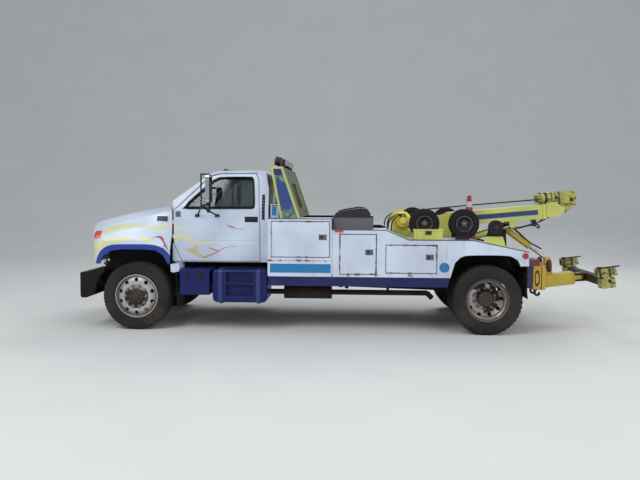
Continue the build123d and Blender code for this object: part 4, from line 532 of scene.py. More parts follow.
for x in STRAP_X:
    line = np.insert(round_tank, 0, x, axis=1)
    straps.append(carried(strip(STRAP_W, 0.005), curved(line, 4)))
    straps.append(slab((x - 0.032, x + 0.032), (-1.216, -1.203), (0.690, 0.716)))
    straps.append(stub(0.011, -0.018, 0.0, (x, -1.212, 0.703)))
added("tank_straps", "truck", "tank_blue", [strap_paint], *straps, both=True, edge=0.0012)
lug_x, lug_y = np.meshgrid(np.arange(1.285, 1.625, 0.030), (-1.182, -1.160, -1.138))
lugs = [cut_plate([(x - 0.011, 0.6735), (x + 0.011, 0.6735), (x + 0.006, 0.6775), (x - 0.006, 0.6775)],
                  (y - 0.003, y + 0.003)) for x, y in zip(lug_x.ravel(), lug_y.ravel())]
added("tank_step_grips", "truck", "tank_blue", [strap_paint], *lugs, both=True)
latches = [piece for x in (0.74, 0.91) for piece in (
    slab((x - 0.022, x + 0.022), (-1.204, -1.194), (0.752, 0.806)),
    carried(circle(0.004, 8), curved([(x - 0.012, -1.203, 0.745), (x - 0.012, -1.212, 0.725),
                                      (x, -1.212, 0.712), (x + 0.012, -1.212, 0.725),
                                      (x + 0.012, -1.203, 0.745)])))]
added("battery_box_latches", "truck", "steel", [chassis_paint], *latches, both=True, edge=0.002)


# Cab: a welded steel shell in gloss white with two moulded doors. Pale-yellow flames with red and orange
# licks were sprayed freehand over the hood and the doors, before the clear coat.
CAB_WHITE = (208, 220, 238)
FLAME_YELLOW, FLAME_GOLD, LICK_RED, LICK_ORANGE = (216, 214, 152), (196, 178, 88), (168, 44, 44), (186, 108, 66)
# rows of each flame: metres behind the front axle, its lower edge and its upper edge
HOOD_FLAMES = (
    (FLAME_YELLOW, ((-0.52, 1.345, 1.350), (-0.39, 1.335, 1.43), (-0.27, 1.365, 1.455), (-0.154, 1.388, 1.475),
                    (0.04, 1.42, 1.466), (0.20, 1.385, 1.432), (0.318, 1.374, 1.450), (0.45, 1.412, 1.442))),
    (FLAME_YELLOW, ((-0.72, 0.90, 1.13), (-0.60, 0.92, 1.215), (-0.47, 1.10, 1.257), (-0.30, 1.175, 1.289),
                    (-0.13, 1.235, 1.306), (-0.05, 1.257, 1.262))),
    (FLAME_YELLOW, ((0.02, 1.295, 1.312), (0.09, 1.232, 1.300), (0.16, 1.214, 1.276), (0.26, 1.250, 1.256))),
    (LICK_RED, ((0.21, 1.268, 1.272), (0.30, 1.274, 1.303), (0.345, 1.236, 1.290), (0.39, 1.160, 1.214),
                (0.45, 1.090, 1.100))),
)
DOOR_FLAMES = (
    (FLAME_YELLOW, ((0.47, 1.35, 1.50), (0.56, 1.385, 1.435), (0.66, 1.398, 1.428), (0.78, 1.412, 1.432),
                    (0.90, 1.45, 1.462))),
    (FLAME_YELLOW, ((0.47, 1.19, 1.31), (0.60, 1.235, 1.335), (0.70, 1.215, 1.29), (0.86, 1.196, 1.235),
                    (1.05, 1.205, 1.228), (1.17, 1.226, 1.232))),
    (FLAME_GOLD, ((0.63, 1.118, 1.124), (0.735, 1.055, 1.130), (0.82, 1.010, 1.165), (0.842, 0.998, 1.06),
                  (0.947, 0.990, 1.010))),
    (LICK_ORANGE, ((0.90, 0.988, 1.004), (1.052, 1.040, 1.072), (1.127, 1.084, 1.108), (1.232, 1.137, 1.152),
                   (1.38, 1.150, 1.156))),
    (LICK_RED, ((0.97, 1.132, 1.140), (1.05, 1.100, 1.124), (1.115, 1.088, 1.100))),
    (LICK_RED, ((1.23, 1.446, 1.456), (1.31, 1.416, 1.438), (1.37, 1.402, 1.414), (1.50, 1.398, 1.402))),
)


def flame(x, z, rows):
    """Mask of one flame: 1 between its lower and its upper edge, smooth curves of x through the rows."""
    rows = np.array(rows)
    (x0, low, _), x1, high = rows.min(0), rows[:, 0].max(), rows[:, 2].max()
    along = add(x, "MapRange", {0: x, 1: x0, 2: x1}).outputs[0]
    inside = times(rise(x, x0 - 0.004, x0 + 0.004), fall(x, x1 - 0.004, x1 + 0.004))
    for column, sign in ((1, 1), (2, -1)):
        curve = add(x, "FloatCurve", {"Value": along})
        places = np.stack([(rows[:, 0] - x0) / (x1 - x0), (rows[:, column] - low) / (high - low)], 1)
        points = curve.mapping.curves[0].points
        points[0].location, points[1].location = places[0], places[-1]
        for spot in places[1:-1]:
            points.new(*spot)
        curve.mapping.update()
        past = times(less(z, linear(curve.outputs[0], high - low, low)), sign)
        inside = times(inside, rise(past, -0.003, 0.004))
    return inside


def flames(rows_of):
    """A decor that sprays the flames on faces that look sideways."""
    def spray(place, base):
        spread = cloud(place, 9, 3)
        x, _, z = parts_of(place)
        sideways = rise(absolute(parts_of(add(place, "TexCoord").outputs["Normal"])[1]), 0.12, 0.3)
        for colour, rows in rows_of:
            base = tint(times(flame(x, z, rows), sideways, linear(spread, 0.9, 0.30)), base, colour)
        return base
    return spray


cab_paint = painted("cab white", CAB_WHITE, 0.34, (0.25, 0.1, 0.05, 0.12), coat=0.3)
door_paint = painted("door white with flames", CAB_WHITE, 0.34, (0.25, 0.1, 0.05, 0.12), coat=0.3,
                     decor=flames(DOOR_FLAMES))
trim_black = painted("trim black", (14, 14, 17), 0.45, (0.12, 0.2, 0.1), coat=0.1)
steel_bright = painted("bright steel", (188, 188, 190), 0.25, (0.25, 0.2, 0.1, 0.1), metal=0.9)
cab_inside = painted("cab lining grey", (34, 34, 37), 0.75, (0.1, 0.1))
CAB_HALF, CAB_WALL = 0.975, 0.062


def inside_cab(middle, normal):
    """1 for faces that look inwards from the cab's walls, roof and floor."""
    x, y, z = middle.T
    away = np.where(z > 2.1, -normal[:, 2], np.where(z < 1.02, normal[:, 2], -normal[:, 1] * np.sign(y)))
    deep = (np.abs(y) < CAB_HALF - CAB_WALL / 2) & (x > 0.50) & (x < 1.80) & (z > 0.96) & (z < 2.2)
    return (deep & (away > 0.2)).astype(int)


def cab_finish(middle, normal):
    """0 white, 1 lining, 2 for the black cowl in front of the windshield."""
    x, y, z = middle.T
    cowl = (x < 0.47) & (z > 1.69) & (normal[:, 2] > 0.5)
    return np.where(cowl, 2, inside_cab(middle, normal))


def door_finish(middle, normal):
    """0 white, 1 lining, 2 black for the mirror's tubes and the handle's cup, 3 chrome for the mirror."""
    x, y, z = middle.T
    out = np.abs(y)
    head = (out > 1.146) & (z > 1.764) & (z < 2.146) & (x > 1.008) & (x < 1.062)
    cup = (np.abs(out - CAB_HALF + 0.0135) < 0.0125) & (x > 1.481) & (x < 1.671) & (z > 1.493) & (z < 1.575)
    return np.where(head, 3, np.where((out > CAB_HALF + 0.006) | cup, 2, inside_cab(middle, normal)))


def side_at(z):
    """How far the cab's outer side stands from the middle at height z: upright to the belt, then leaning in."""
    return CAB_HALF - 0.245 * np.maximum(np.asarray(z) - 1.690, 0)


chrome = painted("mirror chrome", (214, 216, 220), 0.12, (0.15,), metal=1.0)
mirror_glass = painted("mirror glass", (176, 184, 192), 0.02, (0.1,), metal=1.0)
plate_grey = painted("plate grey", (104, 110, 124), 0.4, (0.1, 0.3, 0.3), metal=0.4)
rubber_seal = painted("seal rubber", (12, 12, 13), 0.7, (0.1,), mirror=0.25)
dressed("cab_shell", cab_paint, cab_inside, trim_black, choose=cab_finish)
for side in ("left", "right"):
    body = "door_" + side
    dressed(body, door_paint, cab_inside, trim_black, chrome, choose=door_finish)
    rounds = [(0.635, 1.683), (0.700, 1.772), (0.820, 1.884), (0.945, 1.998), (1.040, 2.078), (1.120, 2.113),
              (1.250, 2.119), (1.450, 2.121), (1.565, 2.118), (1.592, 2.090), (1.602, 1.95), (1.612, 1.80),
              (1.610, 1.710), (1.585, 1.692), (1.300, 1.690), (0.950, 1.687), (0.700, 1.684)]
    seal = carried(strip(0.012, 0.022), [(x, -side_at(z) - 0.001, z) for x, z in rounds], loop=True)
    added("window_seal_" + side, body, "black_plastic", [rubber_seal], *on_side(side, [seal]), edge=0.002)
    pane = slab((1.0610, 1.0640), (-1.315, -1.159), (1.800, 2.110))
    border = carried(strip(0.010, 0.008), [(1.062, -y, z) for y, z in (
        (1.153, 1.805), (1.187, 1.771), (1.287, 1.771), (1.321, 1.805), (1.321, 2.105), (1.287, 2.139),
        (1.187, 2.139), (1.153, 2.105))], 1, True)
    added("mirror_pane_" + side, body, "steel", [mirror_glass, trim_black], *on_side(side, [pane, border]),
          edge=0.001)
    trim = [carried(strip(0.006, 0.014), np.linspace((0.500, -0.9755, 1.250), (1.684, -0.9755, 1.250), 5)),
            slab((1.505, 1.648), (-0.978, -0.962), (1.522, 1.546), 1),
            slab((0.512, 0.584), (-0.980, -0.974), (1.566, 1.642), 3),
            stub(0.009, -0.004, 0.0, (1.575, -0.9755, 1.470), sides=32, finish=2)]
    added("door_trim_" + side, body, "white_paint", [door_paint, trim_black, chrome, plate_grey],
          *on_side(side, trim), edge=0.0015)

# Trim that is fixed to the cab: a seal round the windshield, wipers on the cowl, a louvred vent behind each
# door, a short bead below it and rain gutters over the doors.
FOOT, SLANT = np.array([0.516, 1.790]), math.atan2(2.130 - 1.790, 0.980 - 0.516)


def on_windshield(y, along, off):
    """A place on the windshield: y across, metres up the pane from its foot, metres off its outer face."""
    return (FOOT[0] + along * math.cos(SLANT) - off * math.sin(SLANT), y,
            FOOT[1] + along * math.sin(SLANT) + off * math.cos(SLANT))


pane = [(-0.815, -0.030), (-0.735, 0.548), (-0.45, 0.560), (0, 0.564), (0.45, 0.560), (0.735, 0.548),
        (0.815, -0.030), (0.45, -0.042), (0, -0.044), (-0.45, -0.042)]
seal = carried(strip(0.026, 0.012), [on_windshield(y, along, 0.002) for y, along in pane], loop=True)
wipers = []
for base, tip in ((-0.62, -0.08), (0.04, 0.58)):
    middle = (base + tip) / 2
    wipers.append(turned([(0.0, -0.02), (0.020, -0.02), (0.016, 0.030), (0.0, 0.034)], (0.452, base, 1.752),
                         "z", 12, 1))
    arm = [(0.452, base, 1.778), on_windshield(base + 0.06, 0.02, 0.030), on_windshield(middle, 0.085, 0.022)]
    wipers.append(carried(strip(0.012, 0.008), curved(arm, 6), 1))
    blade = [on_windshield(y, 0.075 + 0.05 * abs(y - base), 0.012) for y in np.linspace(base + 0.03, tip, 7)]
    wipers.append(carried(strip(0.010, 0.016), blade, 1))
vents = []
for z in np.arange(1.540, 1.860, 0.0165):
    y = -side_at(z + 0.005)
    vents.append(slab((1.729, 1.757), (y - 0.006, y + 0.006), (z, z + 0.009), 1))
vents.append(carried(strip(0.006, 0.008), [(x, -side_at(z) - 0.001, z) for x, z in (
    (1.726, 1.531), (1.760, 1.531), (1.760, 1.690), (1.760, 1.880), (1.726, 1.880), (1.726, 1.690))], 1, True))
vents += [cut_plate([(1.727, z0), (1.759, z0), (1.759, z1), (1.727, z1)],
                    (-side_at(z1) - 0.002, -side_at(z1) + 0.010), 1)
          for z0, z1 in zip(np.linspace(1.532, 1.850, 8), np.linspace(1.5755, 1.879, 8))]
beads = [carried(strip(0.006, 0.014), np.linspace((1.700, -0.9755, 1.250), (1.806, -0.9755, 1.250), 3), 2)]
gutter = [(x, -(side_at(z) + 0.004), z) for x, z in ((0.560, 1.735), (0.905, 2.068), (1.000, 2.146),
                                                     (1.115, 2.184), (1.400, 2.190), (1.640, 2.191))]
beads.append(carried(strip(0.010, 0.012), curved(gutter, 6), 2))
added("cab_trim", "truck", "black_plastic", [rubber_seal, trim_black, cab_paint], seal, *wipers, *vents,
      *mirrored(*vents), *beads, *mirrored(*beads), edge=0.0015)

# Window glass: six millimetre panes, slightly green and filmed with dust, which also blurs what is seen
# through them.
glass, tree, shader = new_material("window glass")
film = cloud(add(tree, "TexCoord").outputs["Object"], 6, 5)
feed(shader, {"Base Color": tint(rise(film, 0.35, 0.8), (0.34, 0.40, 0.39, 1), (0.25, 0.29, 0.28, 1)),
              "Roughness": times(rise(film, 0.3, 0.8), 0.12), "Transmission Weight": 1.0, "IOR": 1.45})
for node in ("cab_glass", "door_glass_left", "door_glass_right"):
    dressed(node, glass, edge=0)

# Dashboard: moulded in one piece of grained vinyl, with the steering wheel on its column. It shows through
# the windshield and the door panes.
vinyl = painted("dashboard vinyl", (28, 28, 30), 0.6, (0.15,))
dressed("dashboard", vinyl, edge=0.006)

# Seats: foam cushions in woven cloth on steel risers. Each cushion starts a little smaller than its place, and
# a cloth simulation blows it up; the sewn channels are pressed in after that.
SWELL, VOXEL, CUSHION_EDGE = 0.016, 0.012, 0.034
CHANNEL_DEPTH, CHANNEL_WIDTH = 0.007, 0.014
CLOTH_FRAMES, CLOTH_PRESSURE = 20, 4


def weave(place, base):
    """Woven cloth: two fine sine waves across each other."""
    x, y, z = parts_of(place)
    warp = sine(times(y, 1400))
    weft = sine(times(plus(x, z), 1400))
    thread = linear(times(warp, weft), 0.5, 0.5)
    return tint(times(thread, 0.5), base, (30, 32, 36))


seat_cloth = painted("seat cloth", (58, 60, 64), 0.9, (0.15,), mirror=0.2, decor=weave)


def places_of(mesh):
    """The mesh's vertices as an array."""
    places = np.empty(len(mesh.vertices) * 3)
    mesh.vertices.foreach_get("co", places)
    return places.reshape(-1, 3)


def cushion(name, outline, y, press):
    """A padded block with an outline of (x, z) places between two places across the cab. It is remeshed, blown
    up by cloth pressure with each place's move capped, and pressed in along its sewn channels, which are the
    planes across the cab that press names."""
    piece = surface(name, cut_plate(outline, y))
    round_edges(piece, CUSHION_EDGE)
    even = piece.modifiers.new("even mesh", "REMESH")
    even.mode = "VOXEL"
    even.voxel_size = VOXEL
    ready = bpy.data.meshes.new_from_object(piece.evaluated_get(bpy.context.evaluated_depsgraph_get()))
    piece.modifiers.clear()
    piece.data = ready
    at_rest = places_of(ready)
    normals = np.empty(len(ready.vertices) * 3)
    ready.vertices.foreach_get("normal", normals)
    normals = normals.reshape(-1, 3)
    cloth = piece.modifiers.new("pressure", "CLOTH")
    cloth.settings.use_pressure = True
    cloth.settings.uniform_pressure_force = CLOTH_PRESSURE
    cloth.settings.effector_weights.gravity = 0
    scene = bpy.context.scene
    for step in range(1, CLOTH_FRAMES + 1):
        scene.frame_set(step)
    moved = places_of(piece.evaluated_get(bpy.context.evaluated_depsgraph_get()).data).copy()
    piece.modifiers.clear()
    scene.frame_set(1)
    move = moved - at_rest
    far = np.linalg.norm(move, axis=1)[:, None]
    moved = at_rest + move * np.minimum(1, SWELL / np.maximum(far, 1e-9))
    side = 1 - np.clip(np.abs(normals[:, 1:2]) * 1.5, 0, 1)
    for plane in press:
        groove = np.exp(-((at_rest[:, 1:2] - plane) / CHANNEL_WIDTH) ** 2)
        moved = moved - normals * CHANNEL_DEPTH * groove * side
    ready.vertices.foreach_set("co", moved.ravel())
    ready.shade_smooth()
    ready.materials.append(seat_cloth)
    finer = piece.modifiers.new("finer", "SUBSURF")
    finer.levels = finer.render_levels = 1
    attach(piece, "truck")
    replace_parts(piece, "seats")


for name, y0, y1, press in (("driver", -0.690, -0.130, (-0.58, -0.47, -0.35, -0.24)),
                            ("bench", -0.060, 0.760, (0.06, 0.17, 0.28, 0.42, 0.53, 0.64))):
    low, high = y0 + SWELL, y1 - SWELL
    cushion(name + "_seat_cushion", [(1.058, 1.235), (1.535, 1.228), (1.540, 1.315), (1.075, 1.328)],
            (low, high), press)
    cushion(name + "_seat_back", [(1.512, 1.360), (1.596, 1.360), (1.684, 1.930), (1.668, 1.948),
                                  (1.632, 1.944), (1.606, 1.900)],
            (low, high), press)
risers = []
for y0, y1 in ((-0.630, -0.190), (0.0, 0.700)):
    risers += [cut_plate([(1.100, 0.999), (1.520, 0.999), (1.506, 1.030), (1.506, 1.205), (1.520, 1.2145),
                          (1.100, 1.2145), (1.114, 1.205), (1.114, 1.030)], (y, y + 0.006))
               for y in (y0, y1 - 0.006)]
    risers += [slab((1.112, 1.508), (y0 + 0.004, y1 - 0.004), (1.204, 1.212)),
               slab((1.112, 1.118), (y0 + 0.004, y1 - 0.004), (1.002, 1.206)),
               slab((1.502, 1.508), (y0 + 0.004, y1 - 0.004), (1.002, 1.206))]
    risers += [stub(0.011, -0.006, 0.0, (x, y0, 1.03)) for x in (1.16, 1.46)]
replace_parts(added("seat_risers", "truck", "frame_black", [cab_inside], *risers, edge=0.0015), "seats")

# Mud flaps: black rubber sheets that curl back at the foot, bolted under a steel stay from the frame rail.
# They take the place of the CAD's thicker plates.
flap_rubber = painted("flap rubber", (20, 20, 21), 0.75, (0.35,), mirror=0.25)
flaps = []
for x, y0, y1, top, foot, bar in ((0.566, -1.138, -0.742, 0.788, 0.325, (0.745, 0.790)),
                                  (5.311, -1.214, -0.692, 0.935, 0.500, (0.790, 0.824))):
    drop = np.linspace(0, 1, 12)
    hang = np.stack([x + 0.004 * np.sin(drop * 5) + 0.020 * drop ** 4, np.full(12, (y0 + y1) / 2),
                     top + (foot - top) * drop], 1)
    flaps.append(carried(strip(y1 - y0, 0.007), hang))
    flaps.append(slab((x - 0.016, x - 0.003), (y0, -0.434), bar, 1))
    flaps += [turned([(0.0, -0.007), (0.008, -0.007), (0.010, -0.005), (0.010, 0.0), (0.0, 0.0)],
                     (x - 0.016, y, sum(bar) / 2), "x", 6, 1) for y in np.linspace(y0 + 0.04, y1 - 0.04, 4)]
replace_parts(added("mud_flap_sheets", "truck", "rubber", [flap_rubber, chassis_paint], *flaps, both=True,
                  edge=0.001),
            "mud_flaps")

# Hood: one fibreglass moulding with both fenders, in the cab's white with its own flames, and a blue lip
# round each wheel arch. It tilts forward with the grille and the lamps on it.
LIP_BLUE = (18, 52, 150)
# the arch lip's outer line: metres behind the axle and height
LIP_LINE = ((-0.600, 0.84), (-0.575, 0.93), (-0.530, 1.045), (-0.455, 1.130), (-0.350, 1.175), (-0.200, 1.188),
            (0.000, 1.190), (0.170, 1.188), (0.300, 1.168), (0.400, 1.115), (0.465, 1.030), (0.500, 0.93),
            (0.510, 0.84))


def fender_decor(place, base):
    """The flames, then the lip: blue below a smooth curve of x over the wheel, on the fender's outer face."""
    base = flames(HOOD_FLAMES)(place, base)
    x, y, z = parts_of(place)
    arch = flame(x, z, [(along, 0.5, height) for along, height in LIP_LINE])
    return tint(times(arch, rise(absolute(y), 1.050, 1.058)), base, LIP_BLUE)


hood_paint = painted("hood white with flames", CAB_WHITE, 0.36, (0.22, 0.1, 0.05, 0.1), coat=0.25,
                     decor=fender_decor)
hood_under = painted("hood underside", (52, 52, 54), 0.8, (0.6,))


def hood_finish(middle, normal):
    """0 for the outer skin and 1 for the underside."""
    x, y, z = middle.T
    inward = (normal[:, 2] < -0.3) | (normal[:, 1] * np.sign(y) < -0.3)
    return (inward & (np.abs(y) < 1.10) & (x > -0.70)).astype(int)


def laid_on(piece, corners, lift, thick, finish=0):
    """A thin plate on the piece's side: the four corners' (x, z) are filled with a grid, and every place is
    found by a ray from outside; it stands lift off the skin and is thick."""
    (x0, z0), (x1, z1), (x2, z2), (x3, z3) = corners
    u, v = np.meshgrid(np.linspace(0, 1, 6), np.linspace(0, 1, 5), indexing="ij")
    x = (1 - v) * ((1 - u) * x0 + u * x1) + v * ((1 - u) * x3 + u * x2)
    z = (1 - v) * ((1 - u) * z0 + u * z1) + v * ((1 - u) * z3 + u * z2)
    hits = [piece.ray_cast((a + AXLE, -2, b), (0, 1, 0))[1].y for a, b in zip(x.ravel(), z.ravel())]
    y = np.array(hits).reshape(x.shape)
    outer = np.stack([x, y - lift - thick, z], -1)
    inner = np.stack([x, y + 0.002, z], -1)[:, ::-1]
    return patch(np.concatenate([outer, inner], 1), finish=finish)


hood = dressed("hood", hood_paint, hood_under, choose=hood_finish, edge=0.004)
bpy.context.view_layer.update()
plates = [laid_on(hood, ((0.243, 1.500), (0.405, 1.497), (0.408, 1.580), (0.246, 1.583)), 0.004, 0.003, 1),
          laid_on(hood, ((0.250, 1.507), (0.398, 1.504), (0.400, 1.573), (0.253, 1.576)), 0.006, 0.003)]
holds = [carried(circle(0.008, 8), curved([(0.372, -1.105, 1.080), (0.372, -1.125, 1.090),
                                           (0.374, -1.128, 1.125), (0.374, -1.105, 1.150)])),
         slab((0.354, 0.392), (-1.118, -1.095), (1.060, 1.092)),
         slab((0.354, 0.392), (-1.112, -1.088), (1.140, 1.170))]
added("hood_plates_and_latches", "hood", "black_plastic", [trim_black, steel_bright], *plates, *holds,
      both=True, edge=0.001)

# Grille and lamps: a black moulded frame with bars, clear headlamps and amber corner markers. The lenses are
# moulded in coloured plastic.


def lens_material(name, colour, painted_glow=0.0):
    """Moulded lamp lens: clear coloured plastic with fine ribs; its faint emission is painted light for light
    off its reflector.
    """
    material, tree, shader = new_material(name)
    place = add(tree, "TexCoord").outputs["Object"]
    ribs = add(tree, "TexWave", {"Vector": place, "Scale": 38, "Distortion": 0.4},
               bands_direction="Z").outputs["Fac"]
    bump = add(tree, "Bump", {"Height": ribs, "Strength": 0.4, "Distance": 0.002})
    feed(shader, {"Base Color": tint(ribs, colour, [min(255, c * 1.25) for c in colour]),
                  "Normal": bump.outputs[0], "Roughness": 0.12, "Coat Weight": 0.4,
                  "Emission Color": srgb(*colour), "Emission Strength": painted_glow})
    return material


grille_black = painted("grille black", (20, 20, 22), 0.4, (0.14, 0.2, 0.1), coat=0.2)
lamp_clear = lens_material("clear lamp lens", (196, 200, 204), 0.02)
lamp_amber = lens_material("amber lens", (176, 58, 34))
lamp_red = lens_material("red lens", (140, 20, 26))
bar_lens = lens_material("light bar lens", (56, 22, 19))
lamp_maroon = lens_material("maroon lens", (82, 24, 34))
fins_z = np.arange(1.050, 1.345, 0.012)
fins = [slab((-0.655, -0.645), (-0.585, 0.585), (z, z + 0.003)) for z in fins_z]
posts = [slab((-0.660, -0.650), (y - 0.004, y + 0.004), (1.045, 1.345)) for y in np.arange(-0.54, 0.56, 0.09)]
added("grille_screen", "hood", "black_plastic", [grille_black], *fins, *posts)
lenses = dressed("grille_and_headlamps", grille_black, lamp_clear, lamp_amber, edge=0.002,
                 choose=lambda middle, normal: np.where(np.abs(middle[:, 1]) > 1.03, 2,
                                                        np.where(np.abs(middle[:, 1]) > 0.63, 1, 0)))
bpy.context.view_layer.update()
BEFORE_TRUCK = -4.5


def on_lamp(places):
    """Each place (y, z) with the x of the lamp's glass there, found along a line from in front."""
    return [(lenses.ray_cast((BEFORE_TRUCK, y, z), (1, 0, 0))[1].x - AXLE, y, z) for y, z in places]


rim = [(y, z) for z, run in ((1.157, np.linspace(0.647, 0.978, 8)), (1.328, np.linspace(0.978, 0.647, 8)))
       for y in run]
bars = [carried(circle(0.006, 8), on_lamp(rim), loop=True),
        carried(circle(0.005, 8), on_lamp([(0.8125, z) for z in np.linspace(1.160, 1.325, 5)]))]
added("headlamp_bezels", "hood", "rim_white", [trim_black, lamp_clear], *bars, both=True)


# Locker bodies: folded and welded steel sheet in white over a blue skirt. The seams, door edges and the sill
# have rusted through the paint, and plain light-blue stripes stand where lettering was.
BODY_WHITE, SKIRT_BLUE, STRIPE_BLUE = (208, 219, 236), (12, 23, 84), (34, 118, 172)
BODY_HALF, STEP_X, BODY_BOTTOM, BODY_FRONT = 1.220, 2.708, 0.772, 1.834
# each locker door's first and last x, lowest and highest z
LOCKERS = {name: tuple(a - b for a, b in ((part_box("locker_door_%s_left" % name)[0].x, AXLE - 0.004),
                                          (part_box("locker_door_%s_left" % name)[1].x, AXLE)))
           + (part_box("locker_door_%s_left" % name)[0].z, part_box("locker_door_%s_left" % name)[1].z)
           for name in ("front", "middle", "rear")}


def frame_line(x, z, limits):
    """Signed distance from a rectangle's border, below zero inside it."""
    x0, x1, z0, z1 = limits
    across = less(absolute(less(x, (x0 + x1) / 2)), (x1 - x0) / 2)
    up = less(absolute(less(z, (z0 + z1) / 2)), (z1 - z0) / 2)
    return most(across, up)


def plain_bar(x, z, base, limits, colour, soft=0.003):
    """A plain painted rectangle with slightly soft edges."""
    return tint(fall(frame_line(x, z, limits), -soft, soft), base, colour)


def body_decor(place, base):
    """Stripes, disc and rust: rust shows where the distance to a seam is small and noise is high."""
    x, y, z = parts_of(place)
    base = plain_bar(x, z, base, (1.866, 2.690, 0.824, 0.946), STRIPE_BLUE)
    base = tint(fall(z, BODY_BOTTOM, BODY_BOTTOM + 0.004), base, SKIRT_BLUE)
    disc = add(place, "CombineXYZ", {0: 4.214, 1: y, 2: 0.912}).outputs[0]
    away = add(place, "VectorMath", {0: place, 1: disc}, operation="DISTANCE").outputs["Value"]
    base = tint(fall(away, 0.066, 0.070), base, STRIPE_BLUE)
    grains = cloud(place, 16, 6, (1, 1, 0.6))
    seams = [frame_line(x, z, limits) for limits in LOCKERS.values()] + [less(z, 0.990), less(x, STEP_X)]
    for number, seam in enumerate(seams):
        near = fall(absolute(seam), 0.003, 0.020)
        thin = fall(absolute(seam), 0.0015, 0.006)
        if number == len(LOCKERS):
            front = fall(x, 2.69, 2.71)
            near = times(near, front, 1.5)
            thin = times(thin, front)
        rust = times(near, rise(grains, 0.51, 0.64), rise(z, BODY_BOTTOM, BODY_BOTTOM + 0.012))
        base = tint(rust, base, (140, 84, 44))
        base = tint(times(thin, 0.6), base, (58, 50, 50))
    sill = times(fall(absolute(less(z, 0.80)), 0.0, 0.035), rise(grains, 0.53, 0.62), rise(x, 2.7, 2.75))
    return tint(sill, base, (128, 70, 40))


body_paint = painted("body white", BODY_WHITE, 0.34, (0.09, 0.5, 0.32, 0.25), coat=0.12, mirror=0.35,
                     decor=body_decor)
skirt_paint = painted("skirt blue", SKIRT_BLUE, 0.35, (0.04, 0.5, 0.35, 0.2), coat=0.06, mirror=0.25,
                      under=(150, 150, 156))
inner_black = painted("wheel well black", (20, 19, 19), 0.8, (0.35, 0.1, 0.2, 0.3))
latch_metal = painted("latch metal", (120, 122, 128), 0.35, (0.2, 0.4, 0.2, 0.1), metal=0.8)


def body_finish(middle, normal):
    """1 for the skirt, 2 for the wheel well, the inner side and the underside."""
    x, y, z = middle.T
    skirt = (z < BODY_BOTTOM) & (np.abs(y) > BODY_HALF - 0.05)
    end = (np.abs(normal[:, 0]) > 0.5) & ((x < BODY_FRONT + 0.01) | (x > 5.32))
    hidden = (np.abs(y) < BODY_HALF - 0.02) & (normal[:, 2] < 0.5) & ~end
    return np.where(skirt, 1, np.where(hidden, 2, 0))


TRIM_LINE = np.array([(1.836, 1.5605), (2.706, 1.5605), (2.711, 1.4155), (3.430, 1.4155), (3.740, 1.2855),
                      (4.600, 1.2855), (5.330, 1.1345)])
TRIM_LOW = np.array([(5.330, 1.1245), (4.600, 1.2755), (3.738, 1.2755), (3.428, 1.4055), (2.701, 1.4055),
                     (2.698, 1.5505), (1.836, 1.5505)])
edge_trim = painted("edge trim grey", (34, 38, 58), 0.5, (0.2, 0.6, 0.4, 0.3), metal=0.3)
body_trim = [cut_plate(np.concatenate([TRIM_LINE, TRIM_LOW]), (-1.2245, -1.210)),
             slab((2.7055, 2.7160), (-1.2235, -1.190), (1.402, 1.557), 1),
             carried(strip(0.006, 0.020), curved([(4.259, -1.2205, 0.790), (4.266, -1.2205, 0.900),
                                                  (4.330, -1.2205, 1.030), (4.470, -1.2205, 1.082),
                                                  (4.800, -1.2205, 1.094), (5.080, -1.2205, 1.084),
                                                  (5.230, -1.2205, 1.030), (5.300, -1.2205, 0.945)], 6), 2)]
added("body_edge_trim", "truck", "white_paint", [edge_trim, skirt_paint, body_paint], *body_trim, both=True,
      edge=0.0015)


def rivet(radius, place):
    """A low domed head that stands off the truck's left side."""
    return turned([(0.0, 0.0), (radius, 0.0), (radius - 0.001, -0.0022), (0.0, -0.0026)], place, sides=8)


for side in ("left", "right"):
    dressed("body_" + side, body_paint, skirt_paint, inner_black, choose=body_finish)
    for name, (x0, x1, z0, z1) in LOCKERS.items():
        leaf = "locker_door_%s_%s" % (name, side)
        dressed(leaf, body_paint, latch_metal, edge=0.002,
                choose=lambda middle, normal: (np.abs(middle[:, 1]) > BODY_HALF + 0.002).astype(int))
        cx, cz = x1 - 0.092, (z0 + z1) / 2 + 0.030
        latch = [slab((cx - 0.030, cx + 0.004), (-BODY_HALF - 0.0115, -BODY_HALF - 0.007),
                      (cz - 0.016, cz + 0.016), 1),
                 carried(strip(0.004, 0.006), [(cx + a, -BODY_HALF - 0.0045, cz + b) for a, b in (
                     (-0.048, -0.032), (0.048, -0.032), (0.048, 0.032), (-0.048, 0.032))], 0, True),
                 stub(0.009, -0.005, 0.0, (cx + 0.032, -BODY_HALF - 0.004, cz), sides=14)]
        latch += [rivet(0.0035, (cx + a, -BODY_HALF - 0.004, cz + b)) for a in (-0.045, 0.045)
                  for b in (-0.029, 0.029)]
        latch += [rivet(0.004, (x0 + 0.006, -BODY_HALF - 0.001, z))
                  for z in np.linspace(z0 + 0.030, z1 - 0.030, 5)]
        added("latch_%s_%s" % (name, side), leaf, "steel", [latch_metal, trim_black], *on_side(side, latch))


# Light tower: two leaning side panels edged in lime round a blue field, a top beam and a windowed rear sheet.
# A narrow white box crosses the deck in front of it.
LIME, TOWER_BLUE, LIME_IN_PAINTED_SHADE = (206, 208, 104), (36, 64, 122), (74, 78, 28)


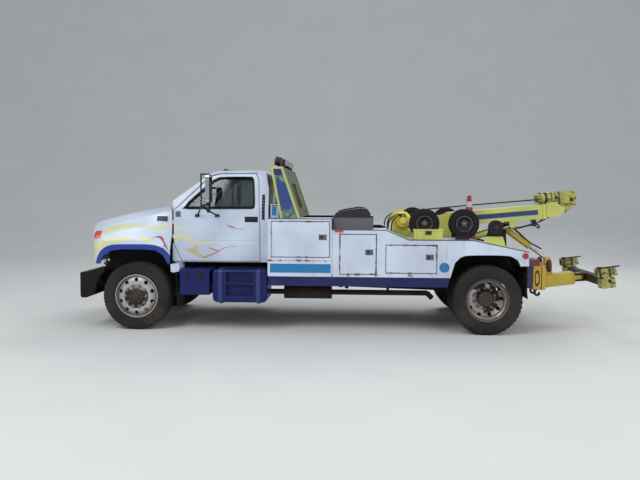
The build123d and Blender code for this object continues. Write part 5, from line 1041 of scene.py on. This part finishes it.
def tower_decor(place, base):
    """Blue field inside a lime border on the side panels: the border is the distance to the panel's slanted
    front and rear edges, which are straight lines of z."""
    x, y, z = parts_of(place)
    up = add(z, "MapRange", {0: z, 1: 1.56, 2: 2.265}).outputs[0]
    fore = less(x, linear(up, 1.849 - 1.988, 1.988))
    aft = less(linear(up, 2.018 - 2.259, 2.259), x)
    inside = times(rise(least(fore, aft), 0.030, 0.036), rise(less(2.235, z), 0.0, 0.006),
                   rise(absolute(y), 1.060, 1.066))
    pale = most(times(rise(z, 2.04, 2.08), fall(z, 2.13, 2.16)), fall(z, 1.60, 1.76))
    pale = times(pale, rise(cloud(place, 16, 5), 0.40, 0.56))
    field = tint(pale, TOWER_BLUE, (118, 140, 104))
    field = tint(rise(z, 2.145, 2.160), field, (20, 32, 92))
    return tint(inside, base, field)


tower_paint = painted("tower lime", (186, 194, 116), 0.35, (0.2, 0.4, 0.3, 0.2), coat=0.3, decor=tower_decor)
# The rear sheet and the faces between the side panels that don't look sideways take a dark olive: painted shade
# over the tower's lime, not a paint of its own.
tower_back_painted_shade = painted("tower lime in painted shade", LIME_IN_PAINTED_SHADE, 0.45, (0.08, 0.4, 0.3, 0.2), coat=0.1)
dressed("tower", tower_paint, tower_back_painted_shade, choose=lambda middle, normal: (
    (np.abs(middle[:, 1]) < 1.009) & (np.abs(normal[:, 1]) < 0.5)).astype(int))


def box_decor(place, base):
    """A plain light-blue bar on the box's end."""
    x, _, z = parts_of(place)
    return plain_bar(x, z, base, (1.862, 1.925, 1.590, 1.715), STRIPE_BLUE)


cross_white = painted("cross box white", (186, 204, 222), 0.3, (0.2, 0.3, 0.3, 0.3), coat=0.3, decor=box_decor)
box = [slab((1.842, 1.958), (-0.965, 0.965), (1.5625, 1.735)),
       slab((1.836, 1.964), (-0.971, 0.971), (1.735, 1.752)),
       slab((1.855, 1.945), (-0.968, -0.964), (1.722, 1.730), 1)]
added("cross_box", "truck", "white_paint", [cross_white, trim_black], *box, edge=0.003)
added("tower_plates", "truck", "white_paint", [cross_white],
      slab((2.075, 2.138), (-1.0695, -1.064), (1.624, 1.670)), edge=0.001)


# Lamps: light bar and work lamps on the tower, amber side markers, red tail lamps in dark boxes. They are one
# node of the CAD, and each lens is told from its housing by its place.
housing = painted("lamp housing black", (18, 18, 20), 0.4, (0.15, 0.1, 0.1), coat=0.2)


def lamp_finish(middle, normal):
    """0 amber, 1 red, 2 black housing, 3 dull light bar and cab markers, 4 maroon tail boxes."""
    x, y, z = middle.T
    low = np.where(x > 5.35, 4, np.where(x > 5.0, 1, 0))
    return np.where(z > 2.18, np.where((np.abs(y) > 0.70) | ((z > 2.26) & (z < 2.30)), 2, 3), low)


dressed("lamps", lamp_amber, lamp_red, housing, bar_lens, lamp_maroon, choose=lamp_finish, edge=0.002)


# Tail: a welded cross box in dark blue with the underlift's cheeks in worn yellow. Bolted end plates close the
# box, and a work lamp in a rusty shell stands on each side of the mast.
MAST_YELLOW = (204, 164, 52)
tail_blue = painted("tail blue", (28, 34, 84), 0.4, (0.2, 0.4, 0.4, 0.4), coat=0.3)
mast_paint = painted("mast yellow", MAST_YELLOW, 0.45, (0.3, 0.8, 0.6, 0.6), coat=0.15)
hook_black = painted("hook black", (14, 13, 13), 0.55, (0.12, 0.4, 0.3))
rust_brown = painted("rusty cast lamp shell", (84, 50, 44), 0.7, (0.3, 0.5, 0.5, 0.2))


def tail_finish(middle, normal):
    """0 blue box, 1 yellow cheeks and end plates, 2 black hooks."""
    x, y, z = middle.T
    return np.where((z < 0.60) & (x > 5.56), 2, np.where(x > 5.55, 1, 0))


dressed("tail_frame", tail_blue, mast_paint, hook_black, choose=tail_finish)
ring, *faces = turned([(0.026, -1.0615), (0.034, -1.0615), (0.036, -1.0650), (0.030, -1.0670),
                       (0.024, -1.0650)],
                      (0, 0, 0), loop=True, sides=28, finish=1)
ends = [cut_plate([(5.430, 0.612), (5.552, 0.606), (5.552, 0.905), (5.536, 0.930), (5.430, 0.930)],
                  (-1.062, -1.050)),
        cut_plate([(5.540, 0.604), (5.600, 0.612), (5.604, 0.890), (5.580, 0.940), (5.540, 0.945)],
                  (-1.062, -1.020)),
        (ring * (1, 1, 3.1) + (5.487, 0, 0.765), *faces)]
bolts = [turned([(0.0, -0.010), (0.007, -0.010), (0.009, -0.008), (0.009, 0.0), (0.0, 0.0)], (x, -1.062, z),
                sides=6)
         for x, z in ((5.445, 0.630), (5.445, 0.910), (5.530, 0.628), (5.530, 0.900))]
added("tail_end_plates", "truck", "boom_yellow", [mast_paint, hook_black], *ends, *bolts, both=True, edge=0.002)
lamp = [turned([(0.0, -0.030), (0.055, -0.030), (0.088, -0.016), (0.098, 0.010), (0.098, 0.020), (0.090, 0.022),
                (0.0, 0.022)],
               (5.872, -0.245, 0.858), "x", 28, 0),
        turned([(0.0, 0.020), (0.088, 0.020), (0.076, 0.030), (0.0, 0.036)], (5.872, -0.245, 0.858), "x", 28,
               1),
        slab((5.780, 5.850), (-0.262, -0.125), (0.850, 0.862), 2)]
added("tail_work_lamps", "truck", "lamp_amber", [rust_brown, lamp_clear, mast_paint], *lamp, both=True,
      edge=0.002)


# Recovery gear: winch base, winches, boom and underlift, all welded steel plate in lime yellow. Grease and
# rust have darkened the edges, and the underlift has faded to a deeper yellow.
BOOM_PIVOT, BOOM_TILT = np.array([4.350, 1.524]), math.radians(5.1)
HEAD_Y, HEAD_UP = 0.135, 0.196


def boom_decor(place, base):
    """A plain dark-blue stripe with a light-blue lower edge along the boom's side. The boom's own height b is
    the distance from its middle line."""
    x, y, z = parts_of(place)
    dx, dz = less(x, BOOM_PIVOT[0]), less(z, BOOM_PIVOT[1])
    a = plus(times(dx, math.cos(BOOM_TILT)), times(dz, math.sin(BOOM_TILT)))
    b = less(times(dz, math.cos(BOOM_TILT)), times(dx, math.sin(BOOM_TILT)))
    outer = rise(absolute(y), 0.185, 0.188)
    for limits, colour in (((0.30, 1.370, -0.034, 0.034), (24, 46, 106)),
                           ((0.30, 1.370, -0.044, -0.034), (60, 140, 178))):
        base = tint(times(fall(frame_line(a, b, limits), -0.002, 0.002), outer), base, colour)
    return base


def tipped(pivot, tilt, patches):
    """Patches given along an arm, across it and above its middle line, tipped about the arm's pivot."""
    cos, sin = math.cos(tilt), math.sin(tilt)
    tip = np.array([(cos, 0, sin), (0, 1, 0), (-sin, 0, cos)])
    return [(points @ tip + (pivot[0], 0, pivot[1]), *faces) for points, *faces in patches]


def shifted(offset, patches):
    """The patches moved by an offset."""
    return [(points + offset, *faces) for points, *faces in patches]


def on_boom(*patches):
    """Patches in the boom's own frame at its stowed angle."""
    return tipped(BOOM_PIVOT, BOOM_TILT, patches)


def greased(amount):
    """A decor of black grease and rust: blotches where smooth noise is high, in all of the share amount."""
    def smear(place, base):
        level = 0.66 - 0.24 * amount
        blots = rise(cloud(place, 15, 8, (1, 1, 1.5)), level, level + 0.16)
        brown = rise(cloud(place, 21, 5), 0.50, 0.60)
        base = tint(times(brown, 0.45 * amount), base, (112, 78, 40))
        return tint(times(blots, 0.74), base, (38, 32, 24))
    return smear


lime_paint = painted("boom lime", LIME, 0.35, (0.25, 0.6, 0.35, 0.3), coat=0.3)
boom_paint = painted("boom lime with a stripe", LIME, 0.35, (0.25, 0.6, 0.35, 0.3), coat=0.3, decor=boom_decor)
arm_paint = painted("underlift yellow", (204, 180, 64), 0.5, (0.25, 0.9, 0.7, 0.6), coat=0.1)
receiver_paint = painted("receiver lime", (172, 168, 84), 0.5, (0.3, 0.9, 0.8, 0.6), coat=0.1,
                         decor=greased(0.78))
head_paint = painted("greased lime", (178, 178, 82), 0.4, (0.16, 0.9, 0.6, 0.5), coat=0.2, decor=greased(0.78))
dark_steel = painted("dark greased steel", (34, 29, 28), 0.5, (0.18, 0.4, 0.4, 0.2), metal=0.5)
grease = painted("black grease", (14, 13, 12), 0.4, (0.08,), coat=0.2)
wire = painted("wire rope", (46, 44, 43), 0.5, (0.3, 0.5, 0.3), metal=0.6)
hose_black = painted("hose rubber", (15, 15, 16), 0.6, (0.15,))
for node, paint in (("winch_frame", lime_paint), ("boom_inner", lime_paint), ("sheave_head_left", head_paint),
                    ("sheave_head_right", head_paint), ("lift_barrels", lime_paint), ("boom_outer", boom_paint),
                    ("tilt_barrel", arm_paint), ("underlift_arm", arm_paint), ("stinger", arm_paint),
                    ("crossbar", dark_steel)):
    dressed(node, paint)
ARM_PIVOT, ARM_TILT, RECEIVER_A, RECEIVER_Y = (5.800, 0.597), math.radians(7.5), 0.7154, 0.790


def receiver_finish(middle, normal):
    """1 for the black pads, which stand highest above the arm's middle line."""
    dx, dz = middle[:, 0] - ARM_PIVOT[0], middle[:, 2] - ARM_PIVOT[1]
    return (dz * math.cos(ARM_TILT) - dx * math.sin(ARM_TILT) > 0.1965).astype(int)


dressed("receivers", receiver_paint, hook_black, choose=receiver_finish)
bands = [carried(strip(0.026, 0.006), [(a, y, b) for y, b in ((-0.0785, 0.080), (0.0785, 0.080),
                                                              (0.0785, 0.196), (-0.0785, 0.196))], 0, True)
         for a in (-0.098, 0.030)]
bands += [turned([(0.0, -0.0785), (0.022, -0.0785), (0.022, -0.092), (0.016, -0.096), (0.0, -0.096)],
                 (0.020, 0, 0.024), sides=18),
          stub(0.013, -0.084, -0.0785, (-0.060, 0, 0.140)), stub(0.013, -0.084, -0.0785, (0.085, 0, 0.140)),
          cut_plate([(-0.118, 0.193), (-0.030, 0.193), (-0.040, 0.216), (-0.095, 0.224)], (-0.030, 0.030)),
          carried(circle(0.009), curved([(0.125, -0.060, 0.110), (0.150, -0.030, 0.100), (0.158, 0, 0.096),
                                         (0.150, 0.030, 0.100), (0.125, 0.060, 0.110)]))]
added("receiver_straps_and_pins", "crossbar", "steel", [hook_black],
      *tipped(ARM_PIVOT, ARM_TILT, shifted((RECEIVER_A, -RECEIVER_Y, 0), bands)), both=True, edge=0.0015)
for node in ("lift_rods", "tilt_rod"):
    dressed(node, steel_bright, edge=0.001)

# Winch drums: each is wound with wire rope, whose turns show as round ridges side by side. The gear housing
# beside it has a ring of bolts and two hydraulic hoses.
DRUM_AT = (3.705, 1.524)
ridge = np.linspace(0, math.pi, 5)[:-1]
start = np.arange(0.0875, 0.381, 0.0125)
coil_y = (start[:, None] + 0.00625 * (1 - np.cos(ridge))).ravel()
coil_r = np.broadcast_to(0.104 + 0.0065 * np.sin(ridge), (len(start), 4)).ravel()
coil = turned([(0.090, 0.0865), *np.stack([coil_r, coil_y], 1), (0.090, 0.3905)], (DRUM_AT[0], 0, DRUM_AT[1]),
              sides=40)
added("drum_rope", "truck", "steel", [wire], coil, both=True)
heads = [stub(0.009, 0.0, 0.008, (DRUM_AT[0] + 0.100 * math.cos(a), 0.488, DRUM_AT[1] + 0.100 * math.sin(a)))
         for a in np.radians(np.arange(0, 360, 45) + 22)]
ports = []
for x in (DRUM_AT[0] - 0.025, DRUM_AT[0] + 0.025):
    ports.append(stub(0.013, 0.0, 0.030, (x, 0.548, DRUM_AT[1] + 0.040), "z", 8))
    ports.append(carried(circle(0.010), curved([
        (x, 0.548, 1.590), (x - 0.010, 0.548, 1.606), (x - 0.060, 0.549, 1.604), (x - 0.150, 0.549, 1.545),
        (x - 0.185, 0.548, 1.460), (x - 0.190, 0.545, 1.30), (x - 0.190, 0.545, 1.085)]), 1))
added("winch_bolts_and_hoses", "truck", "steel", [dark_steel, hose_black], *heads, *ports, both=True)

# Boom rigging: two wire ropes run from the drums over the boom into the swivel tubes, in collars with packed
# grease. Their return lines hang under the boom from a clamp with a hook.
strands = np.linspace(0, 2 * math.pi, 19)[:-1]
laid = (0.0052 + 0.0013 * np.cos(6 * strands))[:, None] * np.stack([np.cos(strands), np.sin(strands)], 1)
along = np.linspace(0.30, 1.42, 150)
for side, sign in (("left", -1), ("right", 1)):
    y = sign * HEAD_Y
    level = on_boom(patch(np.stack([along, np.full(150, y), np.full(150, 0.181)], -1)[:, None]))[0][0]
    low = np.linspace((DRUM_AT[0] - 0.01, y, DRUM_AT[1] + 0.1105), level[0], 90)[:-1]
    rope = added("winch_rope_" + side, "truck", "steel", [wire],
                 carried(laid, np.concatenate([low, level]), twist=2 * math.pi * 30))
    rope.parent = None
    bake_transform(rope, "truck", "boom_outer", (BOOM_PIVOT[0] + AXLE - 0.42, y, BOOM_PIVOT[1]),
             (BOOM_PIVOT[0] + AXLE + 0.02, y, BOOM_PIVOT[1]))
    inner_line = np.stack([np.linspace(0.42, 1.50, 140), np.full(140, y), np.full(140, 0.181)], -1)
    added("head_rope_" + side, "boom_inner", "steel", [wire],
          *on_boom(carried(laid * 1.03, inner_line, twist=2 * math.pi * 16)))
collars = [turned([(0.044, a0), (r - 0.003, a0), (r, a0 + 0.003), (r, a1 - 0.003), (r - 0.003, a1),
                   (0.044, a1)],
                  (0, -HEAD_Y, HEAD_UP), "x", 36, finish, True)
           for a0, a1, r, finish in ((1.438, 1.460, 0.060, 1), (1.484, 1.508, 0.090, 1),
                                     (1.511, 1.570, 0.086, 0), (1.573, 1.579, 0.080, 1),
                                     (1.582, 1.626, 0.086, 0), (1.630, 1.676, 0.086, 0),
                                     (1.680, 1.687, 0.089, 1))]
collars.append(turned([(0.0, -0.080), (0.024, -0.080), (0.020, -0.090), (0.0, -0.091)],
                      (1.646, -HEAD_Y, HEAD_UP), sides=16, finish=1))
added("swivel_collars", "boom_inner", "boom_yellow", [head_paint, grease], *on_boom(*collars), both=True,
      edge=0.0015)
for side, sign in (("left", -1), ("right", 1)):
    y = sign * HEAD_Y
    outline = [(1.712, 0.112), (1.712, 0.276), (1.742, 0.284), (1.870, 0.276), (1.918, 0.250), (1.938, 0.220),
               (1.942, 0.150), (1.930, 0.092), (1.884, 0.072), (1.800, 0.096)]
    guard = [(1.722, 0.092), (1.720, -0.020), (1.740, -0.034), (1.776, -0.040), (1.928, 0.058), (1.930, 0.074),
             (1.905, 0.078), (1.812, 0.056), (1.752, 0.060)]
    parts = []
    for way in (-1, 1):
        parts += [cut_plate(outline, (y + way * 0.032, y + way * 0.046)),
                  stub(0.028, way * 0.039, way * 0.052, (1.868, y, 0.146), sides=20, finish=1)]
    parts += [cut_plate(guard, (y - 0.024, y + 0.024)),
              turned([(0.0, -0.015), (0.086, -0.015), (0.068, -0.005), (0.068, 0.005), (0.086, 0.015),
                      (0.0, 0.015)],
                     (1.824, y, HEAD_UP - 0.002), finish=2),
              stub(0.083, 1.690, 1.708, (0, y, HEAD_UP), "x", 32)]
    added("head_cheeks_" + side, "sheave_head_" + side, "boom_yellow", [head_paint, grease, dark_steel],
          *on_boom(*parts), edge=0.002)
returns = []
for y, sag in ((-0.10, 0.0), (0.06, 0.028)):
    line = [(1.742, y, 0.052), (1.640, y, -0.020), (1.520, y, -0.104), (1.400, y, -0.150 - sag),
            (1.250, y, -0.182 - sag), (1.090, y, -0.205 - sag), (0.960, y, -0.172 - sag), (0.870, y, -0.128),
            (0.800, y, -0.112)]
    returns.append(carried(laid * 1.25, curved(line, 14), twist=2 * math.pi * 14))
returns += [slab((1.335, 1.350), (-0.130, 0.130), (-0.215, -0.108), 1),
            carried(circle(0.012), curved([(1.300, -0.10, -0.112), (1.325, -0.10, -0.150),
                                           (1.385, -0.10, -0.198), (1.398, -0.10, -0.222),
                                           (1.380, -0.10, -0.238), (1.360, -0.10, -0.222)]), 1)]
added("rope_returns_and_clamp", "boom_inner", "steel", [wire, grease], *on_boom(*returns))

# Tilt cylinder's hoses and safety chains. The hoses run along the cylinder's barrel and turn with it, and a
# chain hangs in a loop on each side of the tail.
TILT_TOP, TILT_LOW = np.array([5.240, 1.420]), np.array([5.920, 0.930])
hoses = []
for y, rise_by in ((-0.075, 0.060), (0.080, 0.072)):
    share = np.linspace(0.06, 0.78, 7)
    off = rise_by + 0.014 * np.sin(share * 9)[:, None]
    line = TILT_TOP + share[:, None] * (TILT_LOW - TILT_TOP) + (0.58, 0.81) * off
    hoses.append(carried(circle(0.0105), curved(np.insert(line, 1, y, axis=1))))
added("tilt_hoses", "tilt_barrel", "rubber", [hose_black], *hoses)


LINK_WIRE, LINK_LENGTH, LINK_WIDTH, LINK_STEP = 0.006, 0.036, 0.0216, 0.02592


def chain(path):
    """Links along a path: each link is a long ring, turned a quarter round the path from the one before it."""
    path = curved(path, 20)
    step = np.linalg.norm(np.diff(path, axis=0), axis=1)
    at = np.concatenate([[0], np.cumsum(step)])
    places = np.arange(0, at[-1], LINK_STEP)
    spots = np.stack([np.interp(places, at, path[:, k]) for k in range(3)], 1)
    ahead = np.gradient(spots, axis=0)
    ahead /= np.linalg.norm(ahead, axis=1)[:, None]
    side = np.cross(ahead, (0.31, 0.95, 0.05))
    side /= np.linalg.norm(side, axis=1)[:, None]
    other = np.cross(ahead, side)
    bend = np.linspace(0, 2 * math.pi, 12, endpoint=False)
    oval = np.stack([LINK_LENGTH * np.cos(bend), LINK_WIDTH * np.sin(bend)], 1) / 2
    links = []
    for n, spot in enumerate(spots):
        flat = side[n] if n % 2 else other[n]
        ring = spot + oval[:, :1] * ahead[n] + oval[:, 1:] * flat
        links.append(carried(circle(LINK_WIRE, 6), ring, loop=True))
    return links


chains = chain([(5.555, -0.62, 0.880), (5.600, -0.60, 0.700), (5.640, -0.52, 0.560), (5.630, -0.40, 0.520),
                (5.590, -0.30, 0.600), (5.560, -0.26, 0.740), (5.552, -0.255, 0.900)])
added("safety_chains", "truck", "steel", [wire], *chains, both=True)


# Gear on the locker tops: dolly wheels, expanded-metal trays with vinyl covers, tool boxes, levers, reels
# and a traffic cone.
dolly_rubber = painted("dolly rubber", (21, 21, 23), 0.75, (0.16,), mirror=0.3)
dolly_steel = painted("dolly wheel steel", (46, 46, 48), 0.5, (0.2, 0.5, 0.4, 0.3), metal=0.4)
bead_grey = painted("bead ring grey", (104, 104, 106), 0.45, (0.3, 0.4, 0.3, 0.2), metal=0.4)
DOLLY_X, DOLLY_Y, DOLLY_Z = (3.971, 4.514), 0.890, 1.490


def dolly_finish(middle, normal):
    """0 rubber, 1 the steel wheel inside the bead."""
    x, y, z = middle.T
    near = np.minimum(np.abs(x - DOLLY_X[0]), np.abs(x - DOLLY_X[1]))
    return (np.hypot(near, z - DOLLY_Z) < 0.107).astype(int)


dressed("dolly_wheels", dolly_rubber, dolly_steel, choose=dolly_finish, edge=0.001)
rings = []
for x in DOLLY_X:
    outer = [turned([(0.100, 0.0), (0.109, 0.0), (0.111, 0.006), (0.106, 0.009), (0.100, 0.006)],
                    (x, 0.062, DOLLY_Z), sides=36, loop=True),
             turned([(0.0, 0.0), (0.034, 0.0), (0.032, 0.016), (0.018, 0.024), (0.0, 0.025)],
                    (x, 0.042, DOLLY_Z), sides=20)]
    outer += [turned([(0.0, 0.0), (0.009, 0.0), (0.008, 0.014), (0.0, 0.015)],
                     (x + 0.052 * math.cos(a), 0.040, DOLLY_Z + 0.052 * math.sin(a)), sides=6)
              for a in np.radians(np.arange(0, 360, 72) + 18)]
    rings += outer + mirrored(*outer)
    rings += [turned([(0.2035, y - 0.005), (0.2072, y - 0.0045), (0.2072, y + 0.0045), (0.2035, y + 0.005)],
                     (x, 0, DOLLY_Z), sides=60, finish=1, loop=True) for y in (-0.036, -0.012, 0.012, 0.036)]
rings = shifted((0, -DOLLY_Y, 0), rings)
added("dolly_rings_and_ribs", "truck", "steel", [bead_grey, dolly_rubber], *rings, both=True)


def tray_decor(place, base):
    """Expanded metal: dark diamonds between strands, from two slanted sine waves that cross."""
    x, y, z = parts_of(place)
    run = times(plus(x, y), 150)
    up = times(z, 300)
    first = absolute(sine(plus(run, up)))
    second = absolute(sine(less(run, up)))
    return tint(times(rise(times(first, second), 0.20, 0.32), 0.85), base, (26, 26, 28))


mesh_steel = painted("tray mesh", (134, 136, 138), 0.5, (0.3, 0.3, 0.3, 0.3), metal=0.3, decor=tray_decor)
cover_vinyl = painted("cover vinyl", (22, 24, 32), 0.5, (0.12,))


def gear_finish(middle, normal):
    """0 tray, 1 cover, 2 lime tool box and reel stand, 3 dark levers and reel."""
    x, y, z = middle.T
    stand = (np.abs(y) < 0.981) & (z < 1.33)
    return np.select([(x < 3.5) & (z > 1.581), x < 3.5, x < 4.25, x < 4.7, stand], [1, 0, 2, 3, 2], 3)


def stand_decor(place, base):
    """The reel's stand is lime up to the reel."""
    x, y, z = parts_of(place)
    return tint(times(fall(z, 1.318, 1.326), rise(x, 4.70, 4.72)), base, LIME)


reel_dark = painted("reel black", (22, 22, 26), 0.45, (0.15, 0.3, 0.3, 0.1), mirror=0.3, decor=stand_decor)
dressed("deck_gear", mesh_steel, cover_vinyl, lime_paint, reel_dark, choose=gear_finish)
rails = [carried(circle(0.007, 8), [(2.714, y, 1.581), (3.266, y, 1.581)]) for y in (-1.150, -0.720)]
rails += [carried(circle(0.007, 8), [(x, -1.154, 1.581), (x, -0.716, 1.581)]) for x in (2.718, 3.262)]
knobs = [turned([(0.0, 0.0), (0.009, 0.0), (0.016, 0.012), (0.017, 0.024), (0.010, 0.034), (0.0, 0.036)],
                (4.460 + dx, -1.125, 1.424), "z", 14, 1) for dx in (-0.062, -0.018, 0.026, 0.068)]
lid = [slab((3.802, 4.198), (-1.186, -0.994), (1.402, 1.422), 2),
       slab((3.960, 4.040), (-1.192, -1.180), (1.352, 1.402), 1),
       carried(circle(0.005, 8), curved([(3.950, -1.09, 1.420), (3.955, -1.09, 1.448), (4.000, -1.09, 1.454),
                                         (4.045, -1.09, 1.448), (4.050, -1.09, 1.420)]), 1)]
hub = [turned([(0.0, -1.052), (0.030, -1.052), (0.032, -1.062), (0.0, -1.064)], (4.925, 0, 1.450), sides=20)]
spokes = [carried(strip(0.012, 0.004), [(4.925 + 0.028 * math.cos(a), -1.0605, 1.450 + 0.028 * math.sin(a)),
                                        (4.925 + 0.088 * math.cos(a), -1.0605, 1.450 + 0.088 * math.sin(a))])
          for a in np.radians((20, 80, 140, 200, 260, 320))]
added("deck_gear_fittings", "truck", "mesh_grey", [dolly_steel, hook_black, lime_paint], *rails, *knobs, *lid,
      *hub, *spokes, both=True, edge=0.001)


def cone_decor(place, base):
    """A white band between two heights, and a black foot."""
    z = parts_of(place)[2]
    base = tint(times(rise(z, 1.715, 1.718), fall(z, 1.795, 1.798)), base, (190, 190, 188))
    return tint(fall(z, 1.106, 1.110), base, (24, 24, 25))


cone_orange = painted("cone orange", (160, 44, 38), 0.5, (0.25,), decor=cone_decor)
dressed("traffic_cone", cone_orange, edge=0.002)


# Wheels: forged alloy discs polished to a satin, with ten hand holes and ten nuts. A brown hub cap with its
# bolts stands in the middle, and brake dust has settled round it.
WHEELBASE, AXLE_Z = 4.801, 0.470
STUD_CIRCLE, STUDS = 0.142875, 10


def rim_decor(place, base):
    """Brake dust and road dirt near the barrel and the hub, and painted shadow round the nuts, by distance from
    the axle.
    """
    x, y, z = parts_of(place)
    near = least(absolute(x), absolute(less(x, WHEELBASE)))
    up = less(z, AXLE_Z)
    r = root(plus(times(near, near), times(up, up)))
    outer = times(rise(r, 0.195, 0.268), fall(r, 0.284, 0.290))
    inner = fall(r, 0.106, 0.128)
    # the ring on the nut circle, at a third of the dirt's strength, is painted shadow of the nuts, not dirt
    nut_shadows = fall(absolute(less(r, STUD_CIRCLE)), 0.012, 0.030)
    grime_and_nut_shadows = most(times(outer, 0.8), inner, times(nut_shadows, 0.35))
    return tint(times(grime_and_nut_shadows, linear(cloud(place, 14, 5), 0.8, 0.45)), base, (98, 80, 68))


rim_alloy = painted("rim alloy", (198, 196, 196), 0.3, (0.22, 0.1), metal=0.6, decor=rim_decor)
hub_brown = painted("hub brown", (58, 42, 40), 0.6, (0.35, 0.4, 0.6, 0.3), metal=0.2)
nut_steel = painted("nut steel", (112, 100, 92), 0.5, (0.3, 0.3, 0.4, 0.2), metal=0.5)
tyre_rubber = painted("tyre rubber", (33, 32, 32), 0.8, (0.2,), mirror=0.3)


def rim_finish(front):
    """0 alloy, 1 for the hub, the drum and everything behind the disc."""
    def choose(middle, normal):
        x, y, z = middle.T
        r = np.hypot(x - (0 if front else WHEELBASE), z - AXLE_Z)
        return ((r < 0.1056) | ((r < 0.205) & (np.abs(y) < (1.09 if front else 0.900)))).astype(int)
    return choose


def hex_nut(x, y, z):
    """A flanged wheel nut with its stud's end: a round washer, a hexagon with a chamfer, and the stud."""
    return [turned(profile, (x, y, z), sides=sides) for sides, profile in (
        (18, [(0.0, 0.0), (0.023, 0.0), (0.023, -0.003), (0.019, -0.006), (0.0, -0.006)]),
        (6, [(0.0, -0.005), (0.0205, -0.005), (0.0205, -0.024), (0.017, -0.028), (0.0, -0.028)]),
        (12, [(0.0, -0.020), (0.010, -0.020), (0.010, -0.0345), (0.008, -0.037), (0.0, -0.037)]))]


def bolt_ring(x, y, radius, count, size):
    """Hexagon heads on a circle round the axle."""
    head = [(0.0, 0.0), (size, 0.0), (size, -size * 0.7), (size * 0.8, -size * 0.85), (0.0, -size * 0.85)]
    return [turned(head, (x + radius * math.cos(a), y, AXLE_Z + radius * math.sin(a)), sides=6)
            for a in np.linspace(0, 2 * math.pi, count, endpoint=False)]


FRONT_CAP = [(0.0, 0.0), (0.096, 0.0), (0.096, -0.008), (0.090, -0.012), (0.062, -0.013), (0.058, -0.026),
             (0.044, -0.034), (0.0, -0.036)]
REAR_CAP = [(0.0, 0.0), (0.101, 0.0), (0.101, -0.012), (0.096, -0.016), (0.054, -0.018), (0.050, -0.026),
            (0.0, -0.028)]
# each end's name, place along the truck, disc's outer face, first stud's angle, hub cap's outline and place,
# the cap's bolts (off the cap, circle's radius, number, size), and the valve stem's distances from the axle
# and from the truck's middle
WHEELS = (("front_rim", 0.0, 1.1485, 0.0, FRONT_CAP, 1.168, (0.012, 0.077, 6, 0.009), (0.262, 1.088)),
          ("rear_rims", WHEELBASE, 0.9645, math.radians(18), REAR_CAP, 1.052, (0.016, 0.078, 8, 0.010),
           (0.250, 1.137)))
for side in ("left", "right"):
    for end, x, face, first, cap, cap_at, (off, radius, count, size), (r, stem) in WHEELS:
        node = "%s_%s" % (end, side)
        dressed(node, rim_alloy, hub_brown, edge=0.0015, choose=rim_finish(end == "front_rim"))
        parts = [piece for a in first + np.linspace(0, 2 * math.pi, STUDS, endpoint=False)
                 for piece in hex_nut(x + STUD_CIRCLE * math.cos(a), -face, AXLE_Z + STUD_CIRCLE * math.sin(a))]
        parts.append(turned(cap, (x, -cap_at, AXLE_Z), sides=40, finish=1))
        parts += bolt_ring(x, -cap_at - off, radius, count, size)
        parts.append(carried(circle(0.006, 8), curved([(x + r * 0.85, -stem, AXLE_Z + r * 0.50),
                                                       (x + r * 0.80, -stem - 0.025, AXLE_Z + r * 0.475),
                                                       (x + r * 0.74, -stem - 0.040, AXLE_Z + r * 0.44)], 4)))
        added(node + "_nuts", body_of(frame["nodes"][node])[0], "steel", [nut_steel, hub_brown],
              *on_side(side, parts))

# Tyres: moulded rubber. The tread's ribs and grooves are in the outline that is turned round the axle; the
# shoulder's notches pull that outline in over part of each pitch.
OUTLINE = np.array([(0.0, 0.2875), (0.100, 0.2875), (0.1020, 0.3005), (0.1125, 0.3045), (0.1190, 0.3180),
                    (0.1215, 0.3300), (0.1232, 0.3330), (0.1248, 0.3500), (0.1262, 0.3700), (0.1270, 0.3900),
                    (0.1262, 0.4080), (0.1272, 0.4110), (0.1272, 0.4180), (0.1250, 0.4210), (0.1228, 0.4340),
                    (0.1190, 0.4480), (0.1130, 0.4590), (0.1040, 0.4665), (0.0940, 0.4690), (0.0700, 0.4696),
                    (0.0685, 0.4590), (0.0620, 0.4590), (0.0605, 0.4698), (0.0270, 0.46985), (0.0255, 0.4590),
                    (0.0190, 0.4590), (0.0175, 0.46985), (0.0, 0.46985)])


def tyre(x, y, notches, depth, reach):
    """The outline on both sides of the tyre's middle, turned round the axle. In each pitch the places beyond
    reach from the middle go in by depth, with steep flanks."""
    outline = np.concatenate([OUTLINE, (OUTLINE * (-1, 1))[-2:0:-1]])
    share = np.array([0.0, 0.09, 0.30, 0.39])
    angle = 2 * math.pi * (np.arange(notches)[:, None] + share).ravel() / notches
    down = np.tile([0.0, 1.0, 1.0, 0.0], notches)
    half, r = np.abs(outline[:, 0]), outline[:, 1]
    weight = np.clip((half - reach) / 0.010, 0, 1) * np.clip((r - 0.436) / 0.010, 0, 1) * (r > 0.4595)
    weight = np.maximum(weight, np.clip((r - 0.430) / 0.014, 0, 1) * (half > 0.100))
    radius = r[:, None] - depth * weight[:, None] * down
    points = np.empty((len(outline), len(angle), 3))
    points[..., 0] = x + radius * np.cos(angle)
    pulled = 0.35 * depth * weight[:, None] * down * (half[:, None] > 0.100)
    points[..., 1] = y + outline[:, :1] - np.sign(outline[:, :1]) * pulled
    points[..., 2] = AXLE_Z + radius * np.sin(angle)
    return patch(points, (True, True), False)


for side, sign in (("left", -1), ("right", 1)):
    for node, x, places, notches, depth, reach in (("front_tyre", 0.0, (1.028,), 56, 0.006, 0.078),
                                                   ("rear_tyres", WHEELBASE, (1.092, 0.792), 44, 0.010, 0.034)):
        name = "%s_%s" % (node, side)
        body = body_of(frame["nodes"][name])[0]
        treads = [tyre(x, sign * y, notches, depth, reach) for y in places]
        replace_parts(added(name + "_tread", body, SLOTS[name], [tyre_rubber], *treads), name)
